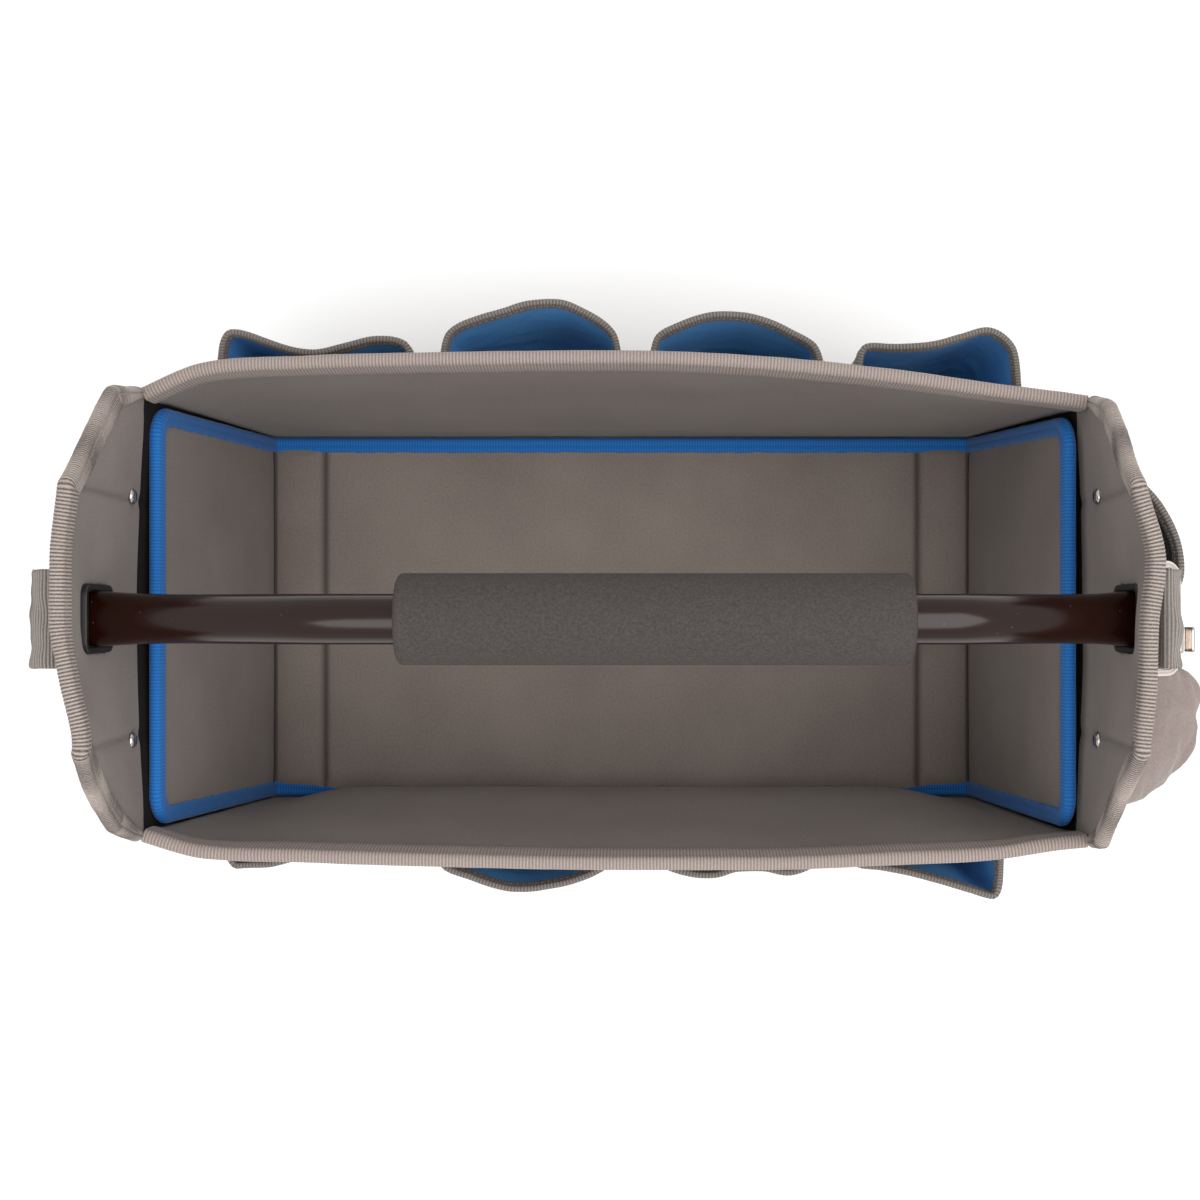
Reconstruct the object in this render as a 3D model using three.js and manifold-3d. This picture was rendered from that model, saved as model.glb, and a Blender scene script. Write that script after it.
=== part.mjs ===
import * as THREE from 'three';
import Module from 'manifold-3d';
import { mergeVertices } from 'three/addons/utils/BufferGeometryUtils.js';

// Open top tool tote: padded cloth walls, a loose padded liner, a steel tube handle with a foam
// grip, and pockets all round. Millimetres, +Z up, +X along the length, +Y to the back. The
// origin is the middle of the base, on the ground.

// Body
const BODY_LENGTH = 502; // clear between the end walls at the floor
const BODY_WIDTH = 256; // clear between the long walls at the floor
const WALL = 5; // padded wall, foam between two cloths
const BASE = 5; // stiffened base
const BASE_CORNER = 5; // corner radius of the base
const RIM_HEIGHT = 243; // top of the long walls
const RIM_BOW = 17; // how far the back rim stands out past the base
const BELLY = 13; // how far the front wall sags in at half height
const END_HEIGHT = 362; // top of the end walls
const END_LEAN = 15.5; // outward lean of the end walls from floor to rim
const END_BOW = 5; // outward curve of the end walls in plan
const EAR_HEIGHT = 39; // upright stretch of an end wall above the rim
const END_TOP = 134; // width of the flat top of an end wall

// Tape bindings
const TAPE = 1.4; // thickness of the binding tape
const RIM_LEG = 19; // how far the rim binding reaches down each face
const END_LEG = 12; // the same on the end walls
const CORNER_LEG = 8; // width of each leg of the corner bindings
const SEAM_GAP = 0.4; // clearance between a tape and what it binds
const CORNER_GAP = 0.7; // the same at the corner tapes, where the walls twist
const GAP = 0.3; // clearance between pieces that touch

// Liner: one padded strip, folded up at both ends
const LINER = 4; // thickness
const LINER_WIDTH = 250;
const LINER_TOP_WIDTH = 232;
const LINER_HEIGHT = 231; // top of its end panels
const LINER_END_GAP = 4; // from a liner end panel's top to the end wall
const LINER_FOLD = 8; // radius at the foot of each end panel
const LINER_CORNER = 18; // radius of its top corners
const LINER_LEG = 9; // reach of the blue tape on each face
const CREASE_FROM_END = 38; // from a floor's end to its cross crease
const CREASE_DEPTH = 1.2;
const CREASE_WIDTH = 8;

// Handle
const TUBE = 25; // outer diameter
const TUBE_WALL = 1.5;
const TUBE_LIFT = 42; // how much higher the raised middle is than the ends
const TUBE_HEADROOM = 4; // over a tube end in its slot frame
const TUBE_RAISED = 317; // length of the raised middle
const TUBE_SHIFT = 15.5; // offset of the raised middle along the tote
const FLARE_WIDTH = 28.6; // flattened end of the tube
const FLARE_HEIGHT = 20;
const GRIP = 45; // outer diameter of the foam
const GRIP_LENGTH = 257;
const GRIP_SHIFT = 24;
const GRIP_ROUND = 6;
const SLOT_RING = 3; // wall of the black frame in each slot
const SLOT_HEIGHT = 42;
const SLOT_DROP = 27; // from the top of an end wall down to its slot
const SLOT_PROUD = 3; // how far the frame stands out of the inner face
const RIVET = 9; // head diameter
const RIVET_HEIGHT = 252;
const RIVET_OFF = 68;
const RIVET_HEAD = 2;

// Pockets
const POCKET_PITCH = 126.5;
const POCKET_SHIFT = 8.5; // the rows sit off centre
const POCKET_WIDTH = 106;
const POCKET_MOUTH = 200; // height of the lips
const POCKET_FOOT = 34; // height of the bottom seam
const POCKET_DEPTH = 37; // deepest lip of the rows
const POCKET_CLOTH = 2;
const POCKET_GAP = 0.8; // from a side seam to the curved wall that it is sewn to
const POCKET_SLACK = 4; // a lip never lies closer to the wall than this
const LIP_LEG = 9; // reach of the lip tape
const LIP_TAPE = 1;

// Right end
const SIDE_POCKET_WIDTH = 88;
const SIDE_POCKET_MIDDLE = 44;
const SIDE_POCKET_DEPTH = 42;
const SIDE_MOUTH = 230;
const SIDE_FOOT = 60;
const POUCH_WIDTH = 90;
const POUCH_MIDDLE = -65;
const POUCH_DEPTH = 50;
const POUCH_MOUTH = 214;
const FLAP_DROP = 46; // how far the flap hangs in front of the pouch
const FLAP_ROOT = 243; // height where the flap leaves the wall
const FLAP_TAB = 7; // height of the flap's seam above that
const FLAP_SINK = 5; // fall of the flap half way to the lip
const FLAP_RISE = 9; // height of the flap over the lip
const FLAP_GAP = 0.8; // clearance in front of the lip
const WEB_WIDTH = 50;
const WEB = 2; // thickness of the webbing
const WEB_TOP = 344;
const WEB_HEIGHT = 92;
const WEB_DEPTH = 17; // depth of the left loop, outside
const WEB_DEPTH_RIGHT = 13;
const RING_WIRE = 4;
const RING_SEAT = 41; // height of the ring's bar above the foot of the loop
const RING_DROP = 26; // fall from the bar to the ring's lowest point
const RING_TIP = 20; // how far that point stands out past the bar
const CLIP_WIDTH = 14;
const CLIP_LENGTH = 40;
const CLIP_STEEL = 1.6;
const CLIP_REACH = 8; // how far the hook's tip stands out
const CLIP_OFF = -12; // from the middle of the webbing

// Facets of the round pieces, and steps along the ring's wire
const TUBE_FACETS = 14;
const GRIP_FACETS = 20;
const RIVET_FACETS = 12;
const WIRE_FACETS = 6;
const RING_STEPS = 28;
// Spans of a long wall between its corner tapes, and of an end wall
const LONG_SPANS = 13;
const END_SPANS = 12;

// Rims seen from above: along is a share of the half length, back and front shares of RIM_BOW.
const RIM_PLAN = [
  { along: -1, back: -0.24, front: -0.47 },
  { along: -0.88, back: 0.56, front: 0.06 },
  { along: -0.66, back: 0.82, front: 0.22 },
  { along: -0.4, back: 0.93, front: 0.35 },
  { along: 0, back: 1, front: 0.47 },
  { along: 0.3, back: 0.82, front: 0.47 },
  { along: 0.6, back: 0.35, front: 0.3 },
  { along: 0.81, back: -0.12, front: 0.12 },
  { along: 0.93, back: -0.36, front: -0.18 },
  { along: 1, back: -0.52, front: -0.29 },
];
// Sag of the long walls: rise is a share of the wall's height, sag a share of BELLY.
const WALL_SAG = [
  { rise: 0, sag: 0 },
  { rise: 0.09, sag: 0 },
  { rise: 0.32, sag: 1 },
  { rise: 0.6, sag: 0.7 },
  { rise: 1, sag: 0 },
];
const SAG_SHARE = { back: 0.3, front: 1 };
// Curve of the end walls over their height: rise and bow are shares of height and END_BOW.
const END_PROFILE = [
  { rise: 0, bow: 0 },
  { rise: 0.35, bow: 0.6 },
  { rise: 0.67, bow: 1 },
  { rise: 1, bow: 0.4 },
];
// Lips seen from above: seven places from left to right, as shares of POCKET_DEPTH.
const LIPS = {
  back: [
    [0.62, 0.5, 0.36, 0.33, 0.38, 0.5, 0.6],
    [0.5, 0.72, 0.87, 0.97, 1, 0.8, 0.48],
    [0.48, 0.72, 0.88, 0.94, 0.85, 0.68, 0.46],
    [0.36, 0.42, 0.48, 0.55, 0.68, 0.68, 0.5],
  ],
  front: [
    [0.22, 0.22, 0.14, 0.05, 0.03, 0.03, 0.02],
    [0.1, 0.22, 0.38, 0.45, 0.38, 0.22, 0.1],
    [0.15, 0.26, 0.3, 0.22, 0.22, 0.28, 0.18],
    [0.08, 0.14, 0.22, 0.32, 0.45, 0.55, 0.4],
  ],
  side: [0.62, 0.95, 1, 0.97, 0.86, 0.66, 0.36],
  pouch: [0.4, 0.66, 0.88, 0.96, 1, 0.94, 0.6],
};
// Those places, with a seam and a fold at each side, as shares of a pocket's half width.
const LIP_PLACES = [-1, -0.93, -0.84, -0.58, -0.29, 0, 0.29, 0.58, 0.84, 0.93, 1];
// Depth of a pocket over its height: rise is a share of its height, depth of its lip's depth.
const POCKET_PROFILE = [
  { rise: 0, depth: 0 },
  { rise: 0.14, depth: 0.5 },
  { rise: 0.4, depth: 0.82 },
  { rise: 0.75, depth: 0.98 },
  { rise: 1, depth: 1 },
];

// Flap from the wall down: reach is a share of the way out to the lip, lift is counted from the
// lip or the root, outward and upward are the direction in which the cloth is thick.
const FLAP_ROWS = [
  { reach: 0, fromLip: false, lift: FLAP_TAB, outward: 1, upward: 0 },
  { reach: 0, fromLip: false, lift: 0, outward: 1, upward: 0.5 },
  { reach: 0.5, fromLip: false, lift: -FLAP_SINK, outward: 0.3, upward: 1 },
  { reach: 0.93, fromLip: true, lift: FLAP_RISE, outward: 0.5, upward: 1 },
  { reach: 1, fromLip: true, lift: 0, outward: 1, upward: 0 },
  { reach: 1, fromLip: true, lift: -FLAP_DROP, outward: 1, upward: 0 },
];

// Handle tube from its raised middle to an end: along is a share of that stretch, rise of the
// height difference, flare of the change from round to flattened.
const TUBE_FALL = [
  { along: -0.1, rise: 1, flare: 0 },
  { along: 0, rise: 0.985, flare: 0 },
  { along: 0.1, rise: 0.93, flare: 0 },
  { along: 0.35, rise: 0.65, flare: 0 },
  { along: 0.7, rise: 0.23, flare: 0.15 },
  { along: 0.86, rise: 0.07, flare: 0.7 },
  { along: 0.93, rise: 0.02, flare: 1 },
  { along: 1, rise: 0, flare: 1 },
];
// Hook from its tip over the ring and down: turn is an angle round the ring's wire in degrees,
// fall a share of CLIP_LENGTH.
const HOOK_LINE = [
  { turn: 200, fall: 0 },
  { turn: 150, fall: 0 },
  { turn: 90, fall: 0 },
  { turn: 45, fall: 0 },
  { turn: 0, fall: 0 },
  { turn: 0, fall: 0.5 },
  { turn: 0, fall: 0.86 },
];
// Webbing loop from the side: out is a share of its depth, rise of its height.
const WEB_LOOP = [
  { out: 0, rise: 0 },
  { out: 0.4, rise: 0.08 },
  { out: 0.86, rise: 0.42 },
  { out: 0.98, rise: 0.7 },
  { out: 1, rise: 0.88 },
  { out: 0.8, rise: 0.96 },
  { out: 0.4, rise: 1 },
  { out: 0, rise: 1 },
];
// Ring seen square on: across is a share of its half width, fall of its drop.
const RING_LOOP = [
  { across: -0.85, fall: 0 },
  { across: 0.85, fall: 0 },
  { across: 1, fall: 0.2 },
  { across: 1, fall: 0.8 },
  { across: 0.85, fall: 1 },
  { across: -0.85, fall: 1 },
  { across: -1, fall: 0.8 },
  { across: -1, fall: 0.2 },
];

const wasm = await Module();
wasm.setup();

const tote = new THREE.Group();

const colours = {
  cloth: { color: 0x6e6460, roughness: 0.95, metalness: 0 },
  binding: { color: 0x96908a, roughness: 0.9, metalness: 0 },
  blue: { color: 0x1a62b4, roughness: 0.85, metalness: 0 },
  pale: { color: 0xa89c96, roughness: 0.9, metalness: 0 },
  foam: { color: 0x55504d, roughness: 1, metalness: 0 },
  enamel: { color: 0x17110f, roughness: 0.2, metalness: 0.3 },
  plastic: { color: 0x101010, roughness: 0.5, metalness: 0 },
  nickel: { color: 0xc9c0b8, roughness: 0.3, metalness: 1 },
};

function addPiece(name, geometry, finish) {
  const mesh = new THREE.Mesh(geometry, new THREE.MeshStandardMaterial(colours[finish]));
  mesh.name = name;
  tote.add(mesh);
  return mesh;
}

// Value of a table's column at a place between its rows, on a smooth curve through them.
function lookUp(table, key, column, at) {
  const last = table.length - 1;
  if (at <= table[0][key]) return table[0][column];
  if (at >= table[last][key]) return table[last][column];
  let row = 0;
  while (table[row + 1][key] < at) row += 1;
  const slope = (index) => {
    const before = table[Math.max(index - 1, 0)];
    const after = table[Math.min(index + 1, last)];
    return (after[column] - before[column]) / (after[key] - before[key]);
  };
  const from = table[row];
  const to = table[row + 1];
  const span = to[key] - from[key];
  const t = (at - from[key]) / span;
  const bend = slope(row) * (1 - t) - slope(row + 1) * t;
  const straight = from[column] + (to[column] - from[column]) * t;
  const chord = (to[column] - from[column]) / span;
  return straight + t * (1 - t) * span * (bend - chord * (1 - 2 * t));
}

// A closed body from rings of points, each ring with the same number. cap gives the triangles
// that close an end, and without it the last ring joins the first.
function loft(rings, cap) {
  const count = rings[0].length;
  const positions = rings.flat().flatMap((point) => [point.x, point.y, point.z]);
  const indices = [];
  const spans = cap ? rings.length - 1 : rings.length;
  for (let ring = 0; ring < spans; ring += 1) {
    for (let side = 0; side < count; side += 1) {
      const a = ring * count + side;
      const b = ring * count + ((side + 1) % count);
      const c = ((ring + 1) % rings.length) * count + side;
      const d = ((ring + 1) % rings.length) * count + ((side + 1) % count);
      indices.push(a, b, d, a, d, c);
    }
  }
  for (const ring of cap ? [0, rings.length - 1] : []) {
    for (const face of cap(rings[ring])) {
      const corners = face.map((index) => ring * count + index);
      indices.push(...(ring === 0 ? corners.reverse() : corners));
    }
  }
  return facingOut(positions, indices);
}

// Triangles that close a ring made of two rows of points, there and back, as a strip.
function stripFaces(ring) {
  const faces = [];
  for (let index = 0; index < ring.length / 2 - 1; index += 1) {
    const across = ring.length - 1 - index;
    faces.push([index, index + 1, across - 1], [index, across - 1, across]);
  }
  return faces;
}

// Triangles that fill one ring, found in the plane that the ring lies nearest to.
function flatFaces(ring) {
  const normal = new THREE.Vector3();
  ring.forEach((point, index) => {
    const next = ring[(index + 1) % ring.length];
    normal.add(new THREE.Vector3().crossVectors(point, next));
  });
  normal.normalize();
  const turn = new THREE.Quaternion().setFromUnitVectors(normal, new THREE.Vector3(0, 0, 1));
  const flat = ring.map((point) => {
    const turned = point.clone().applyQuaternion(turn);
    return new THREE.Vector2(turned.x, turned.y);
  });
  return THREE.ShapeUtils.triangulateShape(flat, []);
}

function facingOut(positions, indices) {
  const geometry = new THREE.BufferGeometry();
  const at = (index) => new THREE.Vector3().fromArray(positions, index * 3);
  let volume = 0;
  for (let i = 0; i < indices.length; i += 3) {
    const [a, b, c] = [at(indices[i]), at(indices[i + 1]), at(indices[i + 2])];
    volume += a.dot(b.cross(c));
  }
  geometry.setAttribute('position', new THREE.Float32BufferAttribute(positions, 3));
  geometry.setIndex(volume < 0 ? [...indices].reverse() : indices);
  geometry.computeVertexNormals();
  return geometry;
}

// A closed wall between two surfaces, each given as a point for a column and a row.
function wallBetween(columns, rows, front, back) {
  const rings = rows.map((row) => [
    ...columns.map((column) => front(column, row)),
    ...[...columns].reverse().map((column) => back(column, row)),
  ]);
  return loft(rings, stripFaces);
}

function solidOf(geometry) {
  const bare = geometry.clone();
  bare.deleteAttribute('normal');
  bare.deleteAttribute('uv');
  const merged = mergeVertices(bare);
  return new wasm.Manifold(new wasm.Mesh({
    numProp: 3,
    vertProperties: new Float32Array(merged.attributes.position.array),
    triVerts: new Uint32Array(merged.index.array),
  }));
}

function geometryOf(solid) {
  const mesh = solid.getMesh();
  const geometry = new THREE.BufferGeometry();
  geometry.setAttribute('position', new THREE.Float32BufferAttribute(mesh.vertProperties, 3));
  geometry.setIndex([...mesh.triVerts]);
  geometry.computeVertexNormals();
  return geometry;
}

// Evenly spaced values from one number to another.
function spread(from, to, steps) {
  return Array.from({ length: steps + 1 }, (_, step) => from + ((to - from) * step) / steps);
}

// The two ends and the two long sides
const ENDS = [
  { name: 'left', sign: -1 },
  { name: 'right', sign: 1 },
];
const SIDES = [
  { name: 'back', sign: 1 },
  { name: 'front', sign: -1 },
];

// Distance of an end wall's inner face from the middle of the tote.
function endInner(y, z) {
  const lean = END_LEAN * Math.min(1, (z - BASE) / (RIM_HEIGHT - BASE));
  const across = Math.cos((Math.min(1, Math.abs(y) / (BODY_WIDTH / 2)) * Math.PI) / 2);
  const rise = (z - BASE) / (END_HEIGHT - BASE);
  return BODY_LENGTH / 2 + lean + END_BOW * across * lookUp(END_PROFILE, 'rise', 'bow', rise);
}

// Distance of a long wall's outer face from the middle plane, for a place along it from -1 to 1.
function longOuter(side, along, z) {
  const rise = (z - BASE) / (RIM_HEIGHT - BASE);
  const bow = RIM_BOW * lookUp(RIM_PLAN, 'along', side.name, along) * rise;
  const sag = BELLY * SAG_SHARE[side.name] * lookUp(WALL_SAG, 'rise', 'sag', rise);
  return BODY_WIDTH / 2 + WALL + bow - sag * (1 - along * along);
}

// Half length of a long wall at a height: it stops short of the end walls.
function longReach(z) {
  return endInner(BODY_WIDTH / 2, z) - GAP;
}

// Base
const footLength = longReach(BASE) + GAP + WALL;
const footWidth = BODY_WIDTH / 2 + WALL;
const baseOutline = new THREE.Shape();
baseOutline.absarc(footLength - BASE_CORNER, footWidth - BASE_CORNER, BASE_CORNER, 0, Math.PI / 2);
baseOutline.absarc(BASE_CORNER - footLength, footWidth - BASE_CORNER, BASE_CORNER,
  Math.PI / 2, Math.PI);
baseOutline.absarc(BASE_CORNER - footLength, BASE_CORNER - footWidth, BASE_CORNER,
  Math.PI, Math.PI * 1.5);
baseOutline.absarc(footLength - BASE_CORNER, BASE_CORNER - footWidth, BASE_CORNER,
  Math.PI * 1.5, Math.PI * 2);
addPiece('base_panel',
  new THREE.ExtrudeGeometry(baseOutline, { depth: BASE - GAP, bevelEnabled: false, curveSegments: 4 }),
  'cloth');

// Long walls, with their columns placed where the corner tapes end
const tapeEdge = 1 - CORNER_LEG / (BODY_LENGTH / 2);
const longColumns = [-1, ...spread(-tapeEdge, tapeEdge, LONG_SPANS), 1];
const longRows = [0, 0.09, 0.2, 0.34, 0.5, 0.67, 0.83]
  .map((rise) => BASE + (RIM_HEIGHT - BASE) * rise)
  .concat(RIM_HEIGHT - RIM_LEG, RIM_HEIGHT);

function longPoint(side, along, z, out) {
  return new THREE.Vector3(along * longReach(z), side.sign * (longOuter(side, along, z) + out), z);
}

for (const side of SIDES) {
  addPiece(`${side.name}_wall`, wallBetween(longColumns, longRows,
    (along, z) => longPoint(side, along, z, 0),
    (along, z) => longPoint(side, along, z, -WALL)), 'cloth');

  const face = SEAM_GAP + TAPE;
  const low = RIM_HEIGHT - RIM_LEG;
  const half = RIM_HEIGHT - RIM_LEG / 2;
  addPiece(`${side.name}_rim_binding`, loft(longColumns.map((along) => {
    const at = (out, z) => longPoint(side, along, Math.min(z, RIM_HEIGHT), out).setZ(z);
    return [
      at(face, low), at(face, RIM_HEIGHT + face), at(-WALL - face, RIM_HEIGHT + face),
      at(-WALL - face, low), at(-WALL - SEAM_GAP, low), at(-WALL - SEAM_GAP, half),
      at(-WALL - SEAM_GAP, RIM_HEIGHT + SEAM_GAP), at(SEAM_GAP, RIM_HEIGHT + SEAM_GAP),
      at(SEAM_GAP, half), at(SEAM_GAP, low),
    ];
  }), flatFaces), 'binding');
}

// End walls: as wide as the long walls' corners up to the rim, then ears, shoulders and a flat top
function endEdge(end, side, z) {
  const corner = longOuter(side, end.sign, Math.min(z, RIM_HEIGHT));
  const shoulder = (z - RIM_HEIGHT - EAR_HEIGHT) / (END_HEIGHT - RIM_HEIGHT - EAR_HEIGHT);
  return corner + (END_TOP / 2 - corner) * Math.max(0, shoulder);
}

function endPoint(end, y, z, out) {
  return new THREE.Vector3(end.sign * (endInner(y, z) + out), y, z);
}

const endRows = [...spread(BASE, RIM_HEIGHT, 5),
  RIM_HEIGHT + EAR_HEIGHT, ...spread(RIM_HEIGHT + EAR_HEIGHT, END_HEIGHT, 3).slice(1)];
const slotWidth = FLARE_WIDTH + 2 * (SEAM_GAP + SLOT_RING);
const slotTop = END_HEIGHT - SLOT_DROP;
const slotMiddle = slotTop - SLOT_HEIGHT / 2;
const throughWall = 6 * WALL; // depth of a cutter that passes right through an end wall

// Places round an end wall's free edge, from the rim at the front over the top to the back.
function endOutline(end) {
  const heights = [RIM_HEIGHT + TAPE + 2 * SEAM_GAP, RIM_HEIGHT + EAR_HEIGHT,
    ...spread(RIM_HEIGHT + EAR_HEIGHT, END_HEIGHT, 4).slice(1)];
  const rising = (side) => heights.map((z) => ({ y: side.sign * endEdge(end, side, z), z }));
  const top = spread(-END_TOP / 2, END_TOP / 2, 6).slice(1, -1).map((y) => ({ y, z: END_HEIGHT }));
  return [...rising(SIDES[1]), ...top, ...rising(SIDES[0]).reverse()];
}

// A place moved in from the outline, square to it, or out where the distance is negative.
function insetFrom(outline, index, distance) {
  const here = outline[index];
  const before = outline[Math.max(index - 1, 0)];
  const after = outline[Math.min(index + 1, outline.length - 1)];
  const inOne = inward(before, here === before ? after : here);
  const inTwo = inward(here === after ? before : here, after);
  if (here === before) inOne.copy(inTwo);
  if (here === after) inTwo.copy(inOne);
  const middle = inOne.clone().add(inTwo).normalize();
  const reach = distance / Math.max(middle.dot(inOne), 0.5);
  return { y: here.y + middle.x * reach, z: here.z + middle.y * reach };
}

function inward(from, to) {
  return new THREE.Vector2(to.z - from.z, from.y - to.y).normalize();
}

for (const end of ENDS) {
  const slab = wallBetween(spread(-1, 1, END_SPANS), endRows,
    (across, z) => endPoint(end, across * endEdge(end, SIDES[across > 0 ? 0 : 1], z), z, WALL),
    (across, z) => endPoint(end, across * endEdge(end, SIDES[across > 0 ? 0 : 1], z), z, 0));
  const hole = new THREE.BoxGeometry(throughWall, slotWidth + 2 * GAP, SLOT_HEIGHT + 2 * GAP);
  hole.translate(end.sign * (endInner(0, slotMiddle) + WALL / 2), 0, slotMiddle);
  addPiece(`${end.name}_end_wall`, geometryOf(solidOf(slab).subtract(solidOf(hole))), 'cloth');

  const outline = endOutline(end);
  const face = SEAM_GAP + TAPE;
  addPiece(`${end.name}_end_binding`, loft(outline.map((_, index) => {
    const at = (out, depth) => {
      const place = insetFrom(outline, index, depth);
      const wall = insetFrom(outline, index, Math.max(depth, 0));
      const point = endPoint(end, wall.y, wall.z, out);
      return new THREE.Vector3(point.x, place.y, place.z);
    };
    return [
      at(WALL + face, END_LEG), at(WALL + face, -face), at(-face, -face), at(-face, END_LEG),
      at(-SEAM_GAP, END_LEG), at(-SEAM_GAP, -SEAM_GAP),
      at(WALL + SEAM_GAP, -SEAM_GAP), at(WALL + SEAM_GAP, END_LEG),
    ];
  }), flatFaces), 'binding');

  // Corner tapes cover the seams between this end wall and the two long walls.
  const tapeFace = CORNER_GAP + TAPE;
  for (const side of SIDES) {
    const rows = longRows.slice(0, -1).map((z) => Math.min(z, RIM_HEIGHT - RIM_LEG - GAP));
    addPiece(`${side.name}_${end.name}_corner_binding`, loft(rows.map((z) => {
      const corner = endEdge(end, side, z);
      const outside = endInner(corner, z) + WALL;
      const along = end.sign * tapeEdge;
      const legX = tapeEdge * longReach(z);
      const legY = longOuter(side, along, z);
      const bendX = longReach(z);
      const legFoot = outside - WALL + (endInner(corner - CORNER_LEG, z) - endInner(corner, z));
      const at = (x, y) => new THREE.Vector3(end.sign * x, side.sign * y, z);
      return [
        at(legFoot + WALL + face, corner - CORNER_LEG), at(outside + face, corner + tapeFace),
        at(bendX, corner + tapeFace), at(legX, legY + tapeFace), at(legX, legY + CORNER_GAP),
        at(bendX, corner + CORNER_GAP), at(outside + SEAM_GAP, corner + CORNER_GAP),
        at(legFoot + WALL + SEAM_GAP, corner - CORNER_LEG),
      ];
    }), flatFaces), 'binding');
  }
}

// Liner: the middle line of one padded strip, from one end panel's top over the floor to the other
const linerFloor = BASE + SEAM_GAP + TAPE + GAP + LINER / 2;
const linerFoot = longReach(BASE) - GAP - TAPE - SEAM_GAP - LINER / 2;
const linerTop = endInner(BODY_WIDTH / 2, LINER_HEIGHT) - LINER_END_GAP - LINER / 2;
const panelLean = Math.atan2(linerTop - linerFoot, LINER_HEIGHT - linerFloor);
const panelLength = Math.hypot(linerTop - linerFoot, LINER_HEIGHT - linerFloor);

// Places down a right end panel and along half the floor, each with the strip's inner normal and
// width. crease marks the floor's cross crease.
function linerHalf() {
  const places = [];
  const panelFoot = new THREE.Vector2(linerFoot, linerFloor);
  const panelTop = new THREE.Vector2(linerTop, LINER_HEIGHT);
  const foldLength = LINER_FOLD * Math.tan((Math.PI / 2 - panelLean) / 2);
  const facing = new THREE.Vector2(-Math.cos(panelLean), Math.sin(panelLean));
  const cornerDrop = LINER_CORNER / panelLength;
  for (const drop of [0, cornerDrop / 2, cornerDrop, 0.36, 0.7, 1 - foldLength / panelLength]) {
    const place = panelTop.clone().lerp(panelFoot, drop);
    places.push({ place, facing, drop, crease: 0, rounded: drop < cornerDrop });
  }
  const foldEnd = new THREE.Vector2(linerFoot - foldLength, linerFloor);
  const foldMiddle = foldEnd.clone().add(new THREE.Vector2(0, LINER_FOLD));
  for (const turn of [0.66, 0.33, 0]) {
    const angle = turn * (Math.PI / 2 - panelLean);
    const around = new THREE.Vector2(Math.sin(angle), -Math.cos(angle));
    places.push({
      place: foldMiddle.clone().addScaledVector(around, LINER_FOLD),
      facing: around.clone().negate(), drop: 1, crease: 0,
    });
  }
  const creaseX = linerFoot - CREASE_FROM_END;
  for (const [x, crease] of [[creaseX + CREASE_WIDTH / 2, 0], [creaseX, 1],
    [creaseX - CREASE_WIDTH / 2, 0], [linerFoot / 3, 0]]) {
    places.push({
      place: new THREE.Vector2(x, linerFloor), facing: new THREE.Vector2(0, 1), drop: 1, crease,
    });
  }
  return places;
}

// Half width of the strip: full on the floor, narrower up the panel, rounded at the top corners.
function linerHalfWidth({ drop }) {
  const straight = LINER_TOP_WIDTH / 2 + ((LINER_WIDTH - LINER_TOP_WIDTH) / 2) * drop;
  const below = drop * panelLength;
  if (below >= LINER_CORNER) return straight;
  const side = LINER_CORNER - below;
  return straight - LINER_CORNER + Math.sqrt(LINER_CORNER ** 2 - side ** 2);
}

const rightHalf = linerHalf();
const mirrored = rightHalf.map((entry) => ({
  ...entry,
  place: new THREE.Vector2(-entry.place.x, entry.place.y),
  facing: new THREE.Vector2(-entry.facing.x, entry.facing.y),
})).reverse();
const linerStrip = [...rightHalf, ...mirrored];
const linerPoint = (entry, y, up) => new THREE.Vector3(
  entry.place.x + entry.facing.x * up, y, entry.place.y + entry.facing.y * up);
addPiece('liner', wallBetween(spread(-1, 1, 4), linerStrip,
  (across, entry) => linerPoint(entry, across * linerHalfWidth(entry),
    LINER / 2 - entry.crease * CREASE_DEPTH),
  (across, entry) => linerPoint(entry, across * linerHalfWidth(entry), -LINER / 2)), 'cloth');

// Blue tape: a channel all round the liner's edge. Each place on the loop has the edge's own
// outward direction in the strip's plane and the strip's inner normal.
function linerLoop() {
  const edge = (list, sign) => list.filter((entry) => !entry.rounded)
    .map((entry) => ({
      point: linerPoint(entry, sign * linerHalfWidth(entry), 0),
      outward: new THREE.Vector3(0, sign, 0),
      normal: new THREE.Vector3(entry.facing.x, 0, entry.facing.y),
    }));
  const roundedTop = (sign, from, to) => {
    const top = sign > 0 ? linerStrip[0] : linerStrip[linerStrip.length - 1];
    const along = new THREE.Vector3(sign * Math.sin(panelLean), 0, Math.cos(panelLean));
    const cornerY = LINER_TOP_WIDTH / 2 - LINER_CORNER;
    const middleOf = (ySign) => linerPoint(top, ySign * cornerY, 0)
      .addScaledVector(along, -LINER_CORNER);
    const places = [];
    for (const [ySign, turns] of [[from, [30, 60, 90]], [to, [90, 60, 30]]]) {
      for (const turn of turns) {
        const angle = THREE.MathUtils.degToRad(turn);
        const outward = new THREE.Vector3(0, ySign * Math.cos(angle), 0)
          .addScaledVector(along, Math.sin(angle));
        places.push({
          point: middleOf(ySign).addScaledVector(outward, LINER_CORNER),
          outward, normal: new THREE.Vector3(top.facing.x, 0, top.facing.y),
        });
      }
    }
    return places;
  };
  return [...edge(linerStrip, 1), ...roundedTop(-1, 1, -1),
    ...edge([...linerStrip].reverse(), -1), ...roundedTop(1, -1, 1)];
}

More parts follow.
